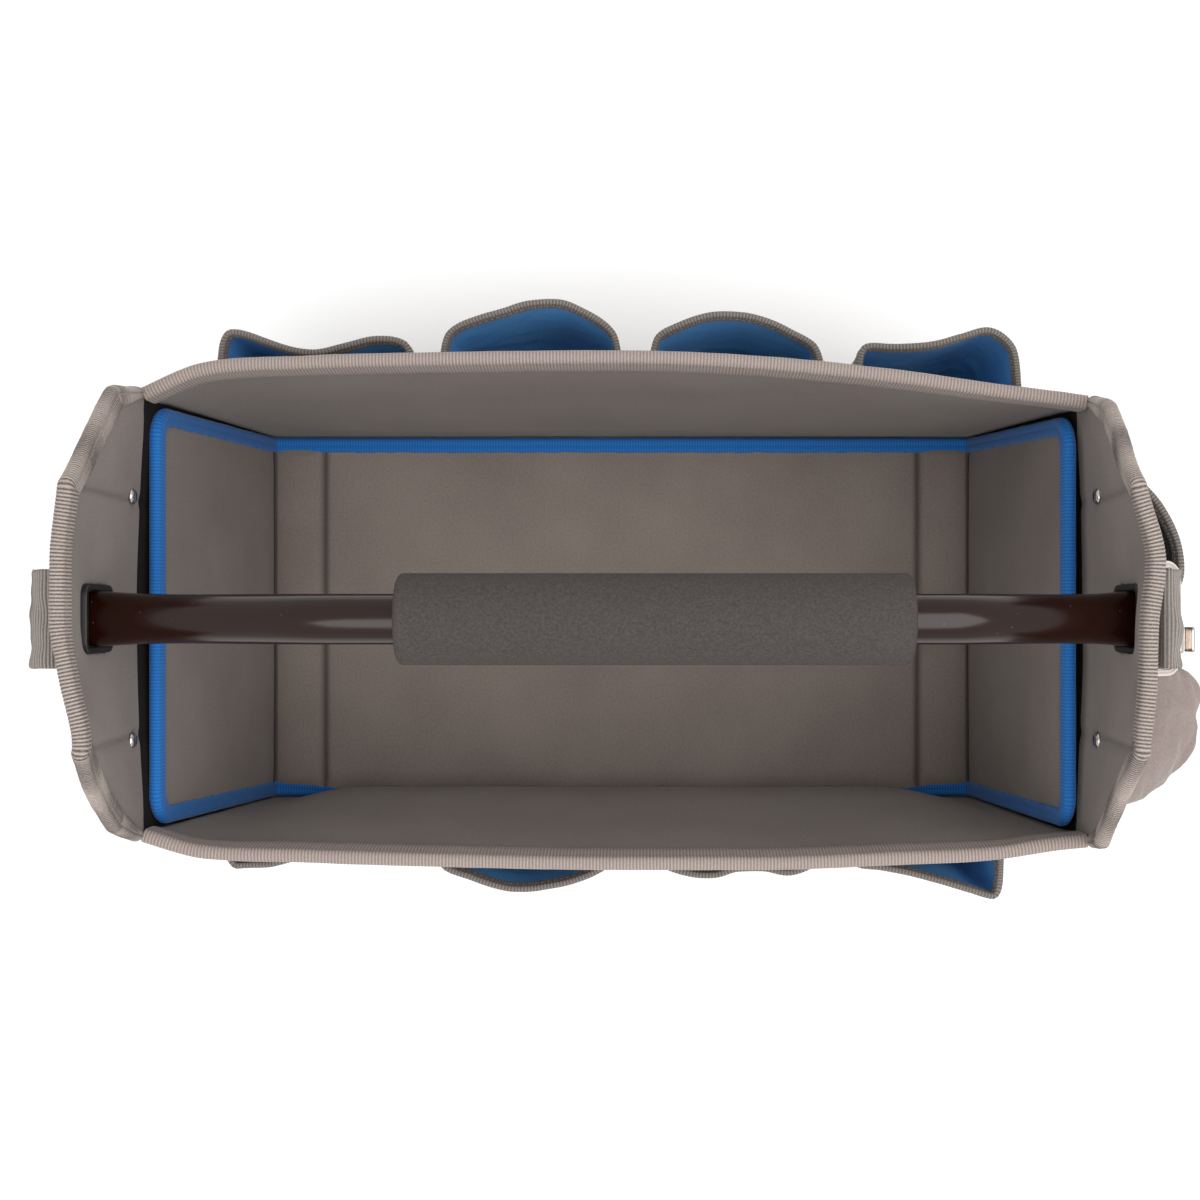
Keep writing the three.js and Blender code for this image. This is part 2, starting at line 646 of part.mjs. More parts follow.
const linerFace = SEAM_GAP + TAPE;
addPiece('liner_binding', loft(linerLoop().map(({ point, outward, normal }) => {
  const at = (up, out) => point.clone().addScaledVector(normal, up).addScaledVector(outward, out);
  const half = LINER / 2;
  return [
    at(half + linerFace, -LINER_LEG), at(half + linerFace, linerFace),
    at(-half - linerFace, linerFace), at(-half - linerFace, -LINER_LEG),
    at(-half - SEAM_GAP, -LINER_LEG), at(-half - SEAM_GAP, SEAM_GAP),
    at(half + SEAM_GAP, SEAM_GAP), at(half + SEAM_GAP, -LINER_LEG),
  ];
})), 'blue');

// Handle tube: raised in the middle, with a flattened, flared end through each slot
const slotOutside = endInner(slotWidth / 2, slotTop) + WALL;
const tubeReach = slotOutside - GAP;
const tubeEnd = slotTop - SLOT_RING - TUBE_HEADROOM - FLARE_HEIGHT / 2;
const tubeTop = tubeEnd + TUBE_LIFT;

function tubeRings(inset) {
  const sides = spread(0, 2 * Math.PI, TUBE_FACETS).slice(1);
  const half = (end) => TUBE_FALL.map(({ along, rise, flare }) => {
    const from = TUBE_SHIFT + end.sign * (TUBE_RAISED / 2);
    const x = from + (end.sign * tubeReach - from) * along;
    const z = tubeEnd + TUBE_LIFT * rise;
    const wide = (TUBE + (FLARE_WIDTH - TUBE) * flare) / 2 - inset;
    const tall = (TUBE + (FLARE_HEIGHT - TUBE) * flare) / 2 - inset;
    return sides.map((angle) => new THREE.Vector3(
      x, wide * Math.cos(angle), z + tall * Math.sin(angle)));
  });
  return [...half(ENDS[0]).reverse(), ...half(ENDS[1])];
}
const tubeOutside = tubeRings(0);
addPiece('handle_tube', loft([...tubeOutside, ...tubeRings(TUBE_WALL).reverse()]), 'enamel');

// Foam grip, a thick ring on the tube's straight raised middle
const gripBore = TUBE / 2 + GAP;
const gripProfile = [new THREE.Vector2(gripBore, -GRIP_LENGTH / 2)];
for (const end of [-1, 1]) {
  for (const turn of end < 0 ? [0, 30, 60, 90] : [90, 60, 30, 0]) {
    const angle = THREE.MathUtils.degToRad(turn);
    gripProfile.push(new THREE.Vector2(
      GRIP / 2 - GRIP_ROUND + GRIP_ROUND * Math.sin(angle),
      end * (GRIP_LENGTH / 2 - GRIP_ROUND + GRIP_ROUND * Math.cos(angle))));
  }
}
gripProfile.push(new THREE.Vector2(gripBore, GRIP_LENGTH / 2), gripProfile[0].clone());
const grip = addPiece('handle_grip', new THREE.LatheGeometry(gripProfile, GRIP_FACETS), 'foam');
grip.rotation.z = -Math.PI / 2;
grip.position.set(GRIP_SHIFT, 0, tubeTop);

// Slot frames and rivets
for (const end of ENDS) {
  const frame = new THREE.BoxGeometry(WALL + SLOT_PROUD, slotWidth, SLOT_HEIGHT);
  const bore = new THREE.BoxGeometry(
    throughWall, slotWidth - 2 * SLOT_RING, SLOT_HEIGHT - 2 * SLOT_RING);
  const ring = addPiece(`${end.name}_slot_frame`,
    geometryOf(solidOf(frame).subtract(solidOf(bore))), 'plastic');
  ring.position.set(end.sign * (slotOutside - (WALL + SLOT_PROUD) / 2), 0, slotMiddle);
  for (const side of SIDES) {
    const y = side.sign * RIVET_OFF;
    const rivet = addPiece(`${side.name}_${end.name}_rivet`, new THREE.LatheGeometry([
      new THREE.Vector2(0, 0), new THREE.Vector2(RIVET / 2, 0),
      new THREE.Vector2(RIVET / 2, RIVET_HEAD / 3), new THREE.Vector2(RIVET / 4, RIVET_HEAD),
      new THREE.Vector2(0, RIVET_HEAD),
    ], RIVET_FACETS), 'nickel');
    rivet.rotation.z = end.sign * (Math.PI / 2);
    rivet.position.set(end.sign * (endInner(y, RIVET_HEIGHT) - SEAM_GAP), y, RIVET_HEIGHT);
  }
}

// A pocket on a wall: place(along, z, out) gives a point outside the wall. The cloth lies on the
// wall at its two side seams and stands off it between them by its lip shares.
function pocketLine(spec, z) {
  const rise = (z - spec.foot) / (spec.mouth - spec.foot);
  const deep = lookUp(POCKET_PROFILE, 'rise', 'depth', rise);
  const shares = [null, null, ...spec.lip, null, null];
  return shares.map((share, index) => ({
    along: spec.middle + LIP_PLACES[index] * (spec.width / 2),
    out: POCKET_GAP + (share === null ? 0 : deep * (POCKET_SLACK + spec.depth * share)),
  }));
}

// The same line moved out square to itself.
function movedOut(line, distance) {
  return line.map((here, index) => {
    const before = line[Math.max(index - 1, 0)];
    const after = line[Math.min(index + 1, line.length - 1)];
    const square = new THREE.Vector2(before.out - after.out, after.along - before.along);
    square.normalize();
    const seam = index < 2 || index > line.length - 3;
    return {
      along: here.along + (seam ? 0 : square.x * distance),
      out: here.out + (seam ? 1 : square.y) * distance,
    };
  });
}

function addPocket(name, spec, finish) {
  const rows = [spec.foot,
    ...spec.levels.filter((z) => z > spec.foot + LIP_LEG && z < spec.mouth - 2 * LIP_LEG),
    spec.mouth - LIP_LEG, spec.mouth];
  const columns = LIP_PLACES.map((_, column) => column);
  const pointOn = (distance) => (column, z) => {
    const { along, out } = movedOut(pocketLine(spec, z), distance)[column];
    return spec.place(along, z, out);
  };
  addPiece(name, wallBetween(columns, rows, pointOn(POCKET_CLOTH), pointOn(0)), finish);

  // Lip tape over the free edge, clear of the wall at both seams
  const face = GAP + LIP_TAPE;
  const low = spec.mouth - LIP_LEG;
  const rings = columns.slice(2, -2).map((column) => {
    const at = (distance, z) => {
      const { along, out } = movedOut(pocketLine(spec, Math.min(z, spec.mouth)), distance)[column];
      return spec.place(along, Math.min(z, spec.mouth), out).setZ(z);
    };
    const outer = POCKET_CLOTH + face;
    return [
      at(outer, low), at(outer, spec.mouth + face), at(-face, spec.mouth + face), at(-face, low),
      at(-GAP, low), at(-GAP, spec.mouth + GAP),
      at(POCKET_CLOTH + GAP, spec.mouth + GAP), at(POCKET_CLOTH + GAP, low),
    ];
  });
  addPiece(`${name}_lip`, loft(rings, flatFaces), 'binding');
}

// Outside of a long wall for a place along it, in millimetres at the height of the lips.
function outsideLong(side) {
  return (x, z, out) => longPoint(side, x / longReach(POCKET_MOUTH), z, out);
}

function outsideEnd(end) {
  return (y, z, out) => endPoint(end, y, z, WALL + out);
}

for (const side of SIDES) {
  LIPS[side.name].forEach((lip, index) => {
    addPocket(`${side.name}_pocket_${index + 1}`, {
      middle: POCKET_SHIFT + (index - 1.5) * POCKET_PITCH,
      width: POCKET_WIDTH, depth: POCKET_DEPTH, mouth: POCKET_MOUTH, foot: POCKET_FOOT,
      lip, place: outsideLong(side), levels: longRows,
    }, 'cloth');
  });
}
addPocket('right_end_pocket', {
  middle: SIDE_POCKET_MIDDLE, width: SIDE_POCKET_WIDTH, depth: SIDE_POCKET_DEPTH,
  mouth: SIDE_MOUTH, foot: SIDE_FOOT, lip: LIPS.side, place: outsideEnd(ENDS[1]), levels: endRows,
}, 'cloth');
const pouch = {
  middle: POUCH_MIDDLE, width: POUCH_WIDTH, depth: POUCH_DEPTH, mouth: POUCH_MOUTH,
  foot: SIDE_FOOT, lip: LIPS.pouch, place: outsideEnd(ENDS[1]), levels: endRows,
};
addPocket('right_end_pouch', pouch, 'pale');

// Flap over the pouch: sewn to the wall above it, out over the lip and down in front
const flapReach = POCKET_CLOTH + GAP + LIP_TAPE + FLAP_GAP;
function flapPoint(column, row, distance) {
  const lip = movedOut(pocketLine(pouch, pouch.mouth), flapReach)[column];
  const out = POCKET_GAP + (lip.out - POCKET_GAP) * row.reach + row.outward * distance;
  const z = (row.fromLip ? pouch.mouth : FLAP_ROOT) + row.lift + row.upward * distance;
  return pouch.place(lip.along, z, out);
}
addPiece('right_end_flap', wallBetween(spread(2, 8, 6), FLAP_ROWS,
  (column, row) => flapPoint(column, row, POCKET_CLOTH),
  (column, row) => flapPoint(column, row, 0)), 'pale');

// Webbing loops: a wide strap sewn flat to each end wall, its front standing out and folded over
const webFoot = WEB_TOP - WEB_HEIGHT;
const webFace = endInner(0, webFoot) + WALL + GAP;

function webOutline(depth, inset) {
  const corners = WEB_LOOP.map(({ out, rise }) => new THREE.Vector2(
    depth * out, webFoot + WEB_HEIGHT * rise));
  return corners.map((corner, index) => {
    const before = corners[(index + corners.length - 1) % corners.length];
    const after = corners[(index + 1) % corners.length];
    const one = corner.clone().sub(before).normalize();
    const two = after.clone().sub(corner).normalize();
    const square = new THREE.Vector2(-one.y - two.y, one.x + two.x).normalize();
    const reach = inset / Math.max(square.dot(new THREE.Vector2(-one.y, one.x)), 0.6);
    return corner.clone().addScaledVector(square, reach);
  });
}

for (const end of ENDS) {
  const depth = end.name === 'left' ? WEB_DEPTH : WEB_DEPTH_RIGHT;
  const outline = new THREE.Shape(webOutline(depth, 0));
  outline.holes.push(new THREE.Path(webOutline(depth, WEB)));
  const strap = new THREE.ExtrudeGeometry(outline, { depth: WEB_WIDTH, bevelEnabled: false });
  strap.translate(0, 0, -WEB_WIDTH / 2);
  strap.rotateX(Math.PI / 2);
  if (end.sign < 0) strap.rotateZ(Math.PI);
  addPiece(`${end.name}_web_loop`, strap, 'binding').position.set(end.sign * webFace, 0, 0);
}

// Ring through the right loop, tipped outward, and the hook that hangs on it
const ringBar = new THREE.Vector2(webFace + WEB + GAP + RING_WIRE / 2, webFoot + RING_SEAT);
const ringHalf = WEB_WIDTH / 2 + GAP + RING_WIRE;
const ringPath = new THREE.CatmullRomCurve3(RING_LOOP.map(({ across, fall }) => new THREE.Vector3(
  ringBar.x + RING_TIP * fall, ringHalf * across, ringBar.y - RING_DROP * fall)),
true, 'catmullrom', 0.3);
const ringRings = spread(0, 1, RING_STEPS).slice(1).map((share) => {
  const middle = ringPath.getPointAt(share);
  const tangent = ringPath.getTangentAt(share);
  const plane = new THREE.Vector3(RING_DROP, 0, RING_TIP).normalize();
  const side = new THREE.Vector3().crossVectors(plane, tangent).normalize();
  return spread(0, 2 * Math.PI, WIRE_FACETS).slice(1).map((angle) => middle.clone()
    .addScaledVector(side, (RING_WIRE / 2) * Math.cos(angle))
    .addScaledVector(plane, (RING_WIRE / 2) * Math.sin(angle)));
});
addPiece('right_ring', loft(ringRings), 'nickel');

const ringLow = new THREE.Vector2(ringBar.x + RING_TIP, ringBar.y - RING_DROP);
const hookRadius = RING_WIRE / 2 + GAP + CLIP_STEEL / 2;
const hookPath = HOOK_LINE.map(({ turn, fall }) => {
  const angle = THREE.MathUtils.degToRad(turn);
  return new THREE.Vector2(ringLow.x + hookRadius * Math.cos(angle),
    ringLow.y + hookRadius * Math.sin(angle) - CLIP_LENGTH * fall);
});
hookPath.push(new THREE.Vector2(ringLow.x + hookRadius + CLIP_REACH / 2, ringLow.y - CLIP_LENGTH));
hookPath.push(new THREE.Vector2(ringLow.x + hookRadius + CLIP_REACH,
  ringLow.y - CLIP_LENGTH + CLIP_REACH));
addPiece('right_hook', loft(hookPath.map((point, index) => {
  const before = hookPath[Math.max(index - 1, 0)];
  const after = hookPath[Math.min(index + 1, hookPath.length - 1)];
  const square = new THREE.Vector2(before.y - after.y, after.x - before.x).normalize();
  const at = (side, y) => new THREE.Vector3(point.x + (square.x * side * CLIP_STEEL) / 2,
    CLIP_OFF + (y * CLIP_WIDTH) / 2, point.y + (square.y * side * CLIP_STEEL) / 2);
  return [at(-1, -1), at(1, -1), at(1, 1), at(-1, 1)];
}), flatFaces), 'nickel');

export default tote;
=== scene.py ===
import math

import bpy
import numpy as np
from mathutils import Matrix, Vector, noise


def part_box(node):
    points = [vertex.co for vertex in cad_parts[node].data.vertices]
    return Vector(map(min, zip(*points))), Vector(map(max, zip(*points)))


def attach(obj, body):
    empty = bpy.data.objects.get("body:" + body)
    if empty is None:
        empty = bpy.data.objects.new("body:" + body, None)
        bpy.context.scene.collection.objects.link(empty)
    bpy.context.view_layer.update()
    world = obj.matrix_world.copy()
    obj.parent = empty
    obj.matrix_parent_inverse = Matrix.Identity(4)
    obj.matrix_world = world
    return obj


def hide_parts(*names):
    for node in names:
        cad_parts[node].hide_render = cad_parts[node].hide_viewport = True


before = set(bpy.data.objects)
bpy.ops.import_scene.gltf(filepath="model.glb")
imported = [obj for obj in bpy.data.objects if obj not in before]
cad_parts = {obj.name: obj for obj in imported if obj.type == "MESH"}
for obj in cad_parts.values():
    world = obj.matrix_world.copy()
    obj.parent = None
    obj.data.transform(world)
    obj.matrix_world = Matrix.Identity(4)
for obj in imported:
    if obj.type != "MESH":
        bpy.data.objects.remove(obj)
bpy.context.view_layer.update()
MM = 0.001


# Base panel. A board wrapped in padded cloth, with its edge rolled over and sewn to the foot of
# every wall. The tote stands on it.
BASE = 5
BASE_CORNER = 5
BASE_ROLL = 1.2
CLOTH_LIT = "#827871"
CLOTH_DARK = "#736963"
# Painted shade: the near-black brown that the cloth darkens to along its creases and folds.
CLOTH_CREASE_SHADE = "#2c221e"


def linear(hex_colour):
    """An sRGB hex colour as linear red, green, blue and alpha."""
    parts = [int(hex_colour[i:i + 2], 16) / 255 for i in (1, 3, 5)]
    return [c / 12.92 if c <= 0.04045 else ((c + 0.055) / 1.055) ** 2.4 for c in parts] + [1]


def add_node(material, kind, inputs, **settings):
    """Adds a node. inputs maps a socket to its value or to the output that feeds it."""
    made = material.node_tree.nodes.new(kind)
    for name, value in settings.items():
        setattr(made, name, value)
    for socket, value in inputs.items():
        if isinstance(value, bpy.types.NodeSocket):
            material.node_tree.links.new(value, made.inputs[socket])
        else:
            made.inputs[socket].default_value = value
    return made


def bare_material(name):
    """A material whose node tree is empty."""
    material = bpy.data.materials.new(name)
    material.use_nodes = True
    material.node_tree.nodes.clear()
    return material


def bands(period):
    """Scale of a wave texture whose bands repeat after that many millimetres."""
    return 2 * math.pi / (20 * period * MM)


def woven_cloth(name, lit, dark, thread, roughness, fuzz):
    """Plain woven polyester: threads over and under each other, a fine grain, faint patches, and
    painted shade in its creases.
    """
    material = bare_material(name)
    place = add_node(material, "ShaderNodeUVMap", {}, uv_map="cloth").outputs["UV"]
    warp = add_node(material, "ShaderNodeTexWave", {"Vector": place, "Scale": bands(thread)},
                    bands_direction="X")
    weft = add_node(material, "ShaderNodeTexWave", {"Vector": place, "Scale": bands(thread)},
                    bands_direction="Y")
    over = add_node(material, "ShaderNodeMath", {0: warp.outputs["Fac"], 1: weft.outputs["Fac"]},
                    operation="SUBTRACT")
    weave = add_node(material, "ShaderNodeMath", {0: over.outputs[0]}, operation="ABSOLUTE")
    grain = add_node(material, "ShaderNodeTexNoise",
                     {"Vector": place, "Scale": 1 / (1.6 * MM), "Detail": 2.0})
    patches = add_node(material, "ShaderNodeTexNoise",
                       {"Vector": place, "Scale": 1 / (70 * MM), "Detail": 3.0})
    shade = add_node(material, "ShaderNodeMath",
                     {0: grain.outputs["Fac"], 1: patches.outputs["Fac"]}, operation="ADD")
    shade = add_node(material, "ShaderNodeMapRange",
                     {"Value": shade.outputs[0], "From Min": 0.7, "From Max": 1.3})
    colour = add_node(material, "ShaderNodeMix",
                      {0: shade.outputs[0], 6: linear(dark), 7: linear(lit)}, data_type="RGBA")
    # Painted shade: the cloth is darkened towards near-black brown where the piece marks its
    # creases and folds.
    painted_crease_shade = add_node(material, "ShaderNodeAttribute", {}, attribute_name="painted_crease_shade")
    colour = add_node(material, "ShaderNodeMix",
                      {0: painted_crease_shade.outputs["Fac"], 6: colour.outputs[2],
                       7: linear(CLOTH_CREASE_SHADE)}, data_type="RGBA")
    relief = add_node(material, "ShaderNodeMath",
                      {0: weave.outputs[0], 1: grain.outputs["Fac"]}, operation="ADD")
    bump = add_node(material, "ShaderNodeBump",
                    {"Height": relief.outputs[0], "Strength": 0.35, "Distance": 0.25 * MM})
    shader = add_node(material, "ShaderNodeBsdfPrincipled",
                      {"Base Color": colour.outputs[2], "Normal": bump.outputs[0],
                       "Roughness": roughness, "IOR": 1.5, "Specular IOR Level": 0.25,
                       "Sheen Weight": fuzz, "Sheen Roughness": 0.5})
    add_node(material, "ShaderNodeOutputMaterial", {"Surface": shader.outputs[0]})
    return material


# Polyester oxford, dyed grey brown: matte, with a grain that is drawn at 1 mm to show at all.
oxford_cloth = woven_cloth("grey_oxford_cloth", CLOTH_LIT, CLOTH_DARK, 1.0, 0.92, 0.12)


def edit(piece):
    """Only that piece is selected, in edit mode, with nothing selected in it."""
    if bpy.context.object and bpy.context.object.mode == "EDIT":
        bpy.ops.object.mode_set(mode="OBJECT")
    bpy.ops.object.select_all(action="DESELECT")
    piece.select_set(True)
    bpy.context.view_layer.objects.active = piece
    bpy.ops.object.mode_set(mode="EDIT")
    bpy.ops.mesh.select_all(action="DESELECT")


def pick(piece, kind, chosen):
    """Selects the vertices, edges or faces of a piece in edit mode that a test chooses."""
    bpy.ops.mesh.select_all(action="DESELECT")
    bpy.ops.mesh.select_mode(type={"vertices": "VERT", "edges": "EDGE", "polygons": "FACE"}[kind])
    bpy.ops.object.mode_set(mode="OBJECT")
    points = piece.data.vertices
    for part in getattr(piece.data, kind):
        ends = [points[i].co for i in part.vertices] if kind != "vertices" else [part.co]
        part.select = chosen(ends)
    bpy.ops.object.mode_set(mode="EDIT")


def apply_all(piece):
    """Applies every modifier and puts the piece's place into its mesh."""
    if bpy.context.object and bpy.context.object.mode == "EDIT":
        bpy.ops.object.mode_set(mode="OBJECT")
    bpy.ops.object.select_all(action="DESELECT")
    piece.select_set(True)
    bpy.context.view_layer.objects.active = piece
    for modifier in list(piece.modifiers):
        bpy.ops.object.modifier_apply(modifier=modifier.name)
    bpy.ops.object.transform_apply(location=True, rotation=True, scale=True)


def fit(piece, slot, *nodes):
    """The piece rides on the tote and stands for those nodes, which are hidden. slot is not used.
    """
    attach(piece, "root")
    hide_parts(*nodes)


def map_cloth(piece):
    """Unfolds a piece to its cloth map, in metres, by the way that each face looks."""
    layer = piece.data.uv_layers.new(name="cloth")
    for face in piece.data.polygons:
        flat = max(range(3), key=lambda axis: abs(face.normal[axis]))
        across, up = [axis for axis in range(3) if axis != flat]
        for loop in face.loop_indices:
            point = piece.data.vertices[piece.data.loops[loop].vertex_index].co
            layer.data[loop].uv = (point[across], point[up])


base_low, base_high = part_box("base_panel")
base_size = base_high - base_low
bpy.ops.object.select_all(action="DESELECT")
bpy.ops.mesh.primitive_cube_add(size=1, location=(base_low + base_high) / 2)
base = bpy.context.object
base.name = "wrapped_base"
base.scale = base_size
apply_all(base)
edit(base)
pick(base, "edges", lambda ends: abs(ends[0].z - ends[1].z) > base_size.z / 2)
bpy.ops.mesh.bevel(offset=BASE_CORNER * MM, segments=6)
pick(base, "edges", lambda ends: abs(ends[0].z - ends[1].z) < base_size.z / 2)
bpy.ops.mesh.bevel(offset=BASE_ROLL * MM, segments=3)
apply_all(base)
map_cloth(base)
base.data.materials.append(oxford_cloth)
base.data.shade_smooth()
fit(base, "cloth", "base_panel")


# Long walls. Foam between two layers of cloth, bowed out at the rim because nothing holds them
# between the ends, the front one sagging in below it.
WALL = 5
BODY_LENGTH = 502
BODY_WIDTH = 256
RIM_HEIGHT = 243
RIM_BOW = 17
BELLY = 14.5
END_LEAN = 15.5
END_BOW = 5
END_HEIGHT = 362
GAP = 0.3
WALL_PUFF = 0.6
SIDES = {"back": 1, "front": -1}
# Rims from above: along is a share of the half length, back and front shares of RIM_BOW.
RIM_PLAN = {
    "along": [-1, -0.88, -0.66, -0.4, 0, 0.3, 0.6, 0.81, 0.93, 1],
    "back": [-0.24, 0.56, 0.82, 0.93, 1, 0.82, 0.35, -0.12, -0.36, -0.52],
    "front": [-0.47, 0.06, 0.22, 0.35, 0.47, 0.47, 0.3, 0.12, -0.18, -0.29],
}
WALL_SAG = {"rise": [0, 0.06, 0.2, 0.32, 0.6, 1], "sag": [0, 0, 0.92, 1, 0.7, 0]}
SAG_PLAN = {"away": [0, 0.6, 0.76, 0.88, 0.96, 1], "sag": [1, 0.98, 0.82, 0.3, 0, 0]}
SAG_SHARE = {"back": 0.3, "front": 1}
END_PROFILE = {"rise": [0, 0.35, 0.67, 1], "bow": [0, 0.6, 1, 0.4]}


def through(places, values, at):
    """Values on a smooth curve through a table, which never swings past its neighbours."""
    places = np.asarray(places, float)
    values = np.asarray(values, float)
    chords = np.diff(values) / np.diff(places)
    least = np.minimum(np.abs(chords[:-1]), np.abs(chords[1:]))
    inner = np.clip((chords[:-1] + chords[1:]) / 2, -3 * least, 3 * least)
    inner = np.where(chords[:-1] * chords[1:] > 0, inner, 0)
    slopes = np.concatenate([chords[:1], inner, chords[-1:]])
    at = np.clip(at, places[0], places[-1])
    row = np.clip(np.searchsorted(places, at, "right") - 1, 0, len(places) - 2)
    span = places[row + 1] - places[row]
    t = (at - places[row]) / span
    from_start = (1 + 2 * t) * (1 - t) ** 2 * values[row] + t * (1 - t) ** 2 * span * slopes[row]
    from_end = t * t * (3 - 2 * t) * values[row + 1] - t * t * (1 - t) * span * slopes[row + 1]
    return from_start + from_end


def end_inner(y, z):
    """Distance of an end wall's inner face from the middle of the tote."""
    y, z = np.broadcast_arrays(np.asarray(y, float), np.asarray(z, float))
    lean = END_LEAN * np.minimum(1, (z - BASE) / (RIM_HEIGHT - BASE))
    across = np.cos(np.minimum(1, np.abs(y) / (BODY_WIDTH / 2)) * math.pi / 2)
    rise = (z - BASE) / (END_HEIGHT - BASE)
    return BODY_LENGTH / 2 + lean + END_BOW * across * through(
        END_PROFILE["rise"], END_PROFILE["bow"], rise)


def long_outer(side, along, z):
    """Distance of a long wall's outer face from the middle plane."""
    rise = (z - BASE) / (RIM_HEIGHT - BASE)
    bow = RIM_BOW * through(RIM_PLAN["along"], RIM_PLAN[side], along) * rise
    sag = BELLY * SAG_SHARE[side] * through(WALL_SAG["rise"], WALL_SAG["sag"], rise)
    return BODY_WIDTH / 2 + WALL + bow - sag * through(SAG_PLAN["away"], SAG_PLAN["sag"],
                                                       np.abs(along))


def long_reach(z):
    """Half length of a long wall: it stops short of the end walls."""
    return end_inner(BODY_WIDTH / 2, z) - GAP


def long_point(side, along, z, out):
    """A point out from a long wall's outer face, for a place from -1 to 1 along it."""
    along, z, out = np.broadcast_arrays(*(np.asarray(v, float) for v in (along, z, out)))
    y = SIDES[side] * (long_outer(side, along, z) + out)
    return np.stack([along * long_reach(z), y, z], axis=-1)


def waver(points, size, seed):
    """Smooth random values about 0 for points in mm, with bumps of about that size."""
    flat = points.reshape(-1, 3) / size + seed
    return np.array([noise.noise(Vector(p)) for p in flat]).reshape(points.shape[:-1])


def loft(name, rings, looped=False, lined=False):
    """Skin over rings of points in mm. A ring runs along one face and back along the other,
    and both ends are closed across, or the last ring joins the first. A lined skin has a
    second material on the way back."""
    rings = np.asarray(rings, float)
    if looped:
        rings = np.concatenate([rings, rings[:1]])
    count, side = rings.shape[:2]
    across = np.linalg.norm(np.diff(rings, axis=1, append=rings[:, :1]), axis=2).mean(axis=0)
    onward = np.linalg.norm(np.diff(rings, axis=0), axis=2).mean(axis=1)
    u = np.concatenate([[0], np.cumsum(across)]) * MM
    v = np.concatenate([[0], np.cumsum(onward)]) * MM
    row, column = np.meshgrid(np.arange(count - 1), np.arange(side), indexing="ij")
    steps = [(0, 0), (0, 1), (1, 1), (1, 0)]
    wrap = count - 1 if looped else count
    faces = np.stack([(row + r) % wrap * side + (column + c) % side for r, c in steps], axis=-1)
    maps = np.stack([np.stack([u[column + c], v[row + r]], axis=-1) for r, c in steps], axis=-2)
    faces = faces.reshape(-1, 4)
    maps = maps.reshape(-1, 4, 2)
    linings = ((column >= side // 2) & (column < side - 1)).ravel().astype(int)
    if not looped:
        near = np.arange(side // 2 - 1)
        strip = np.stack([near, near + 1, side - 2 - near, side - 1 - near], axis=-1)
        edge = np.stack([u[strip], np.tile([0, 0, 1, 1], (len(strip), 1)) * MM], axis=-1)
        last = strip + (count - 1) * side
        faces = np.concatenate([faces, strip[:, ::-1], last])
        maps = np.concatenate([maps, edge[:, ::-1], edge])
        linings = np.concatenate([linings, np.zeros(2 * len(strip), int)])
    points = rings[:wrap].reshape(-1, 3) * MM
    a, b, c, d = (points[faces[:, i]] for i in range(4))
    volume = (a * np.cross(b, c)).sum() + (a * np.cross(c, d)).sum()
    if volume < 0:
        faces = faces[:, ::-1]
        maps = maps[:, ::-1]
    mesh = bpy.data.meshes.new(name)
    mesh.from_pydata(points.tolist(), [], faces.tolist())
    mesh.uv_layers.new(name="cloth").data.foreach_set("uv", maps.ravel())
    if lined:
        mesh.polygons.foreach_set("material_index", linings)
    mesh.shade_smooth()
    piece = bpy.data.objects.new(name, mesh)
    bpy.context.scene.collection.objects.link(piece)
    return piece


def there_and_back(front, back):
    """Rings along a front face and back along the face behind it."""
    return np.concatenate([front, back[:, ::-1]], axis=1)


wall_along, wall_z = np.meshgrid(np.linspace(-1, 1, 161), np.linspace(BASE, RIM_HEIGHT, 81))
for side in SIDES:
    middle = long_point(side, wall_along, wall_z, -WALL / 2)
    from_seam = np.minimum.reduce([RIM_HEIGHT - 12 - wall_z, wall_z - BASE,
                                   (1 - abs(wall_along)) * BODY_LENGTH / 2])
    puff = WALL_PUFF * np.clip(from_seam / 14, 0, 1) ** 0.5
    soft = 0.5 * waver(middle, 55, 3.1) * np.clip(from_seam / 30, 0, 1)
    pucker = 0.25 * waver(middle * [1, 1, 0.4], 7, 8.7) * np.exp(-np.abs(from_seam) / 9)
    piece = loft(f"padded_{side}_wall", there_and_back(
        long_point(side, wall_along, wall_z, puff + soft + pucker),
        long_point(side, wall_along, wall_z, -WALL - puff + soft - pucker)))
    piece.data.materials.append(oxford_cloth)
    fit(piece, "cloth", f"{side}_wall")


# Rim bindings. Grosgrain tape with ribs across it, folded over the top edge of each long wall
# and sewn through near its two edges.
TAPE = 1.4
RIB_PITCH = 1.9
RIB_DEPTH = 0.34
RIB_STEPS = 4
RIM_LEG = 19
SEAM_GAP = 0.2
SEAM_FROM_CROWN = 5.5
SEAM_DENT = 0.8
STITCH = 2.7
STITCH_PITCH = 3.8
STITCH_THICK = 0.75
# Crest colours are painted highlight on the ribs, groove colours painted shade between them.
TAPE_LIT_CREST = "#a89c94"
TAPE_SHADED_GROOVE = "#544b47"
FINE_LIT_CREST = "#a2958e"
FINE_SHADED_GROOVE = "#7c706b"
THREAD = "#958c86"


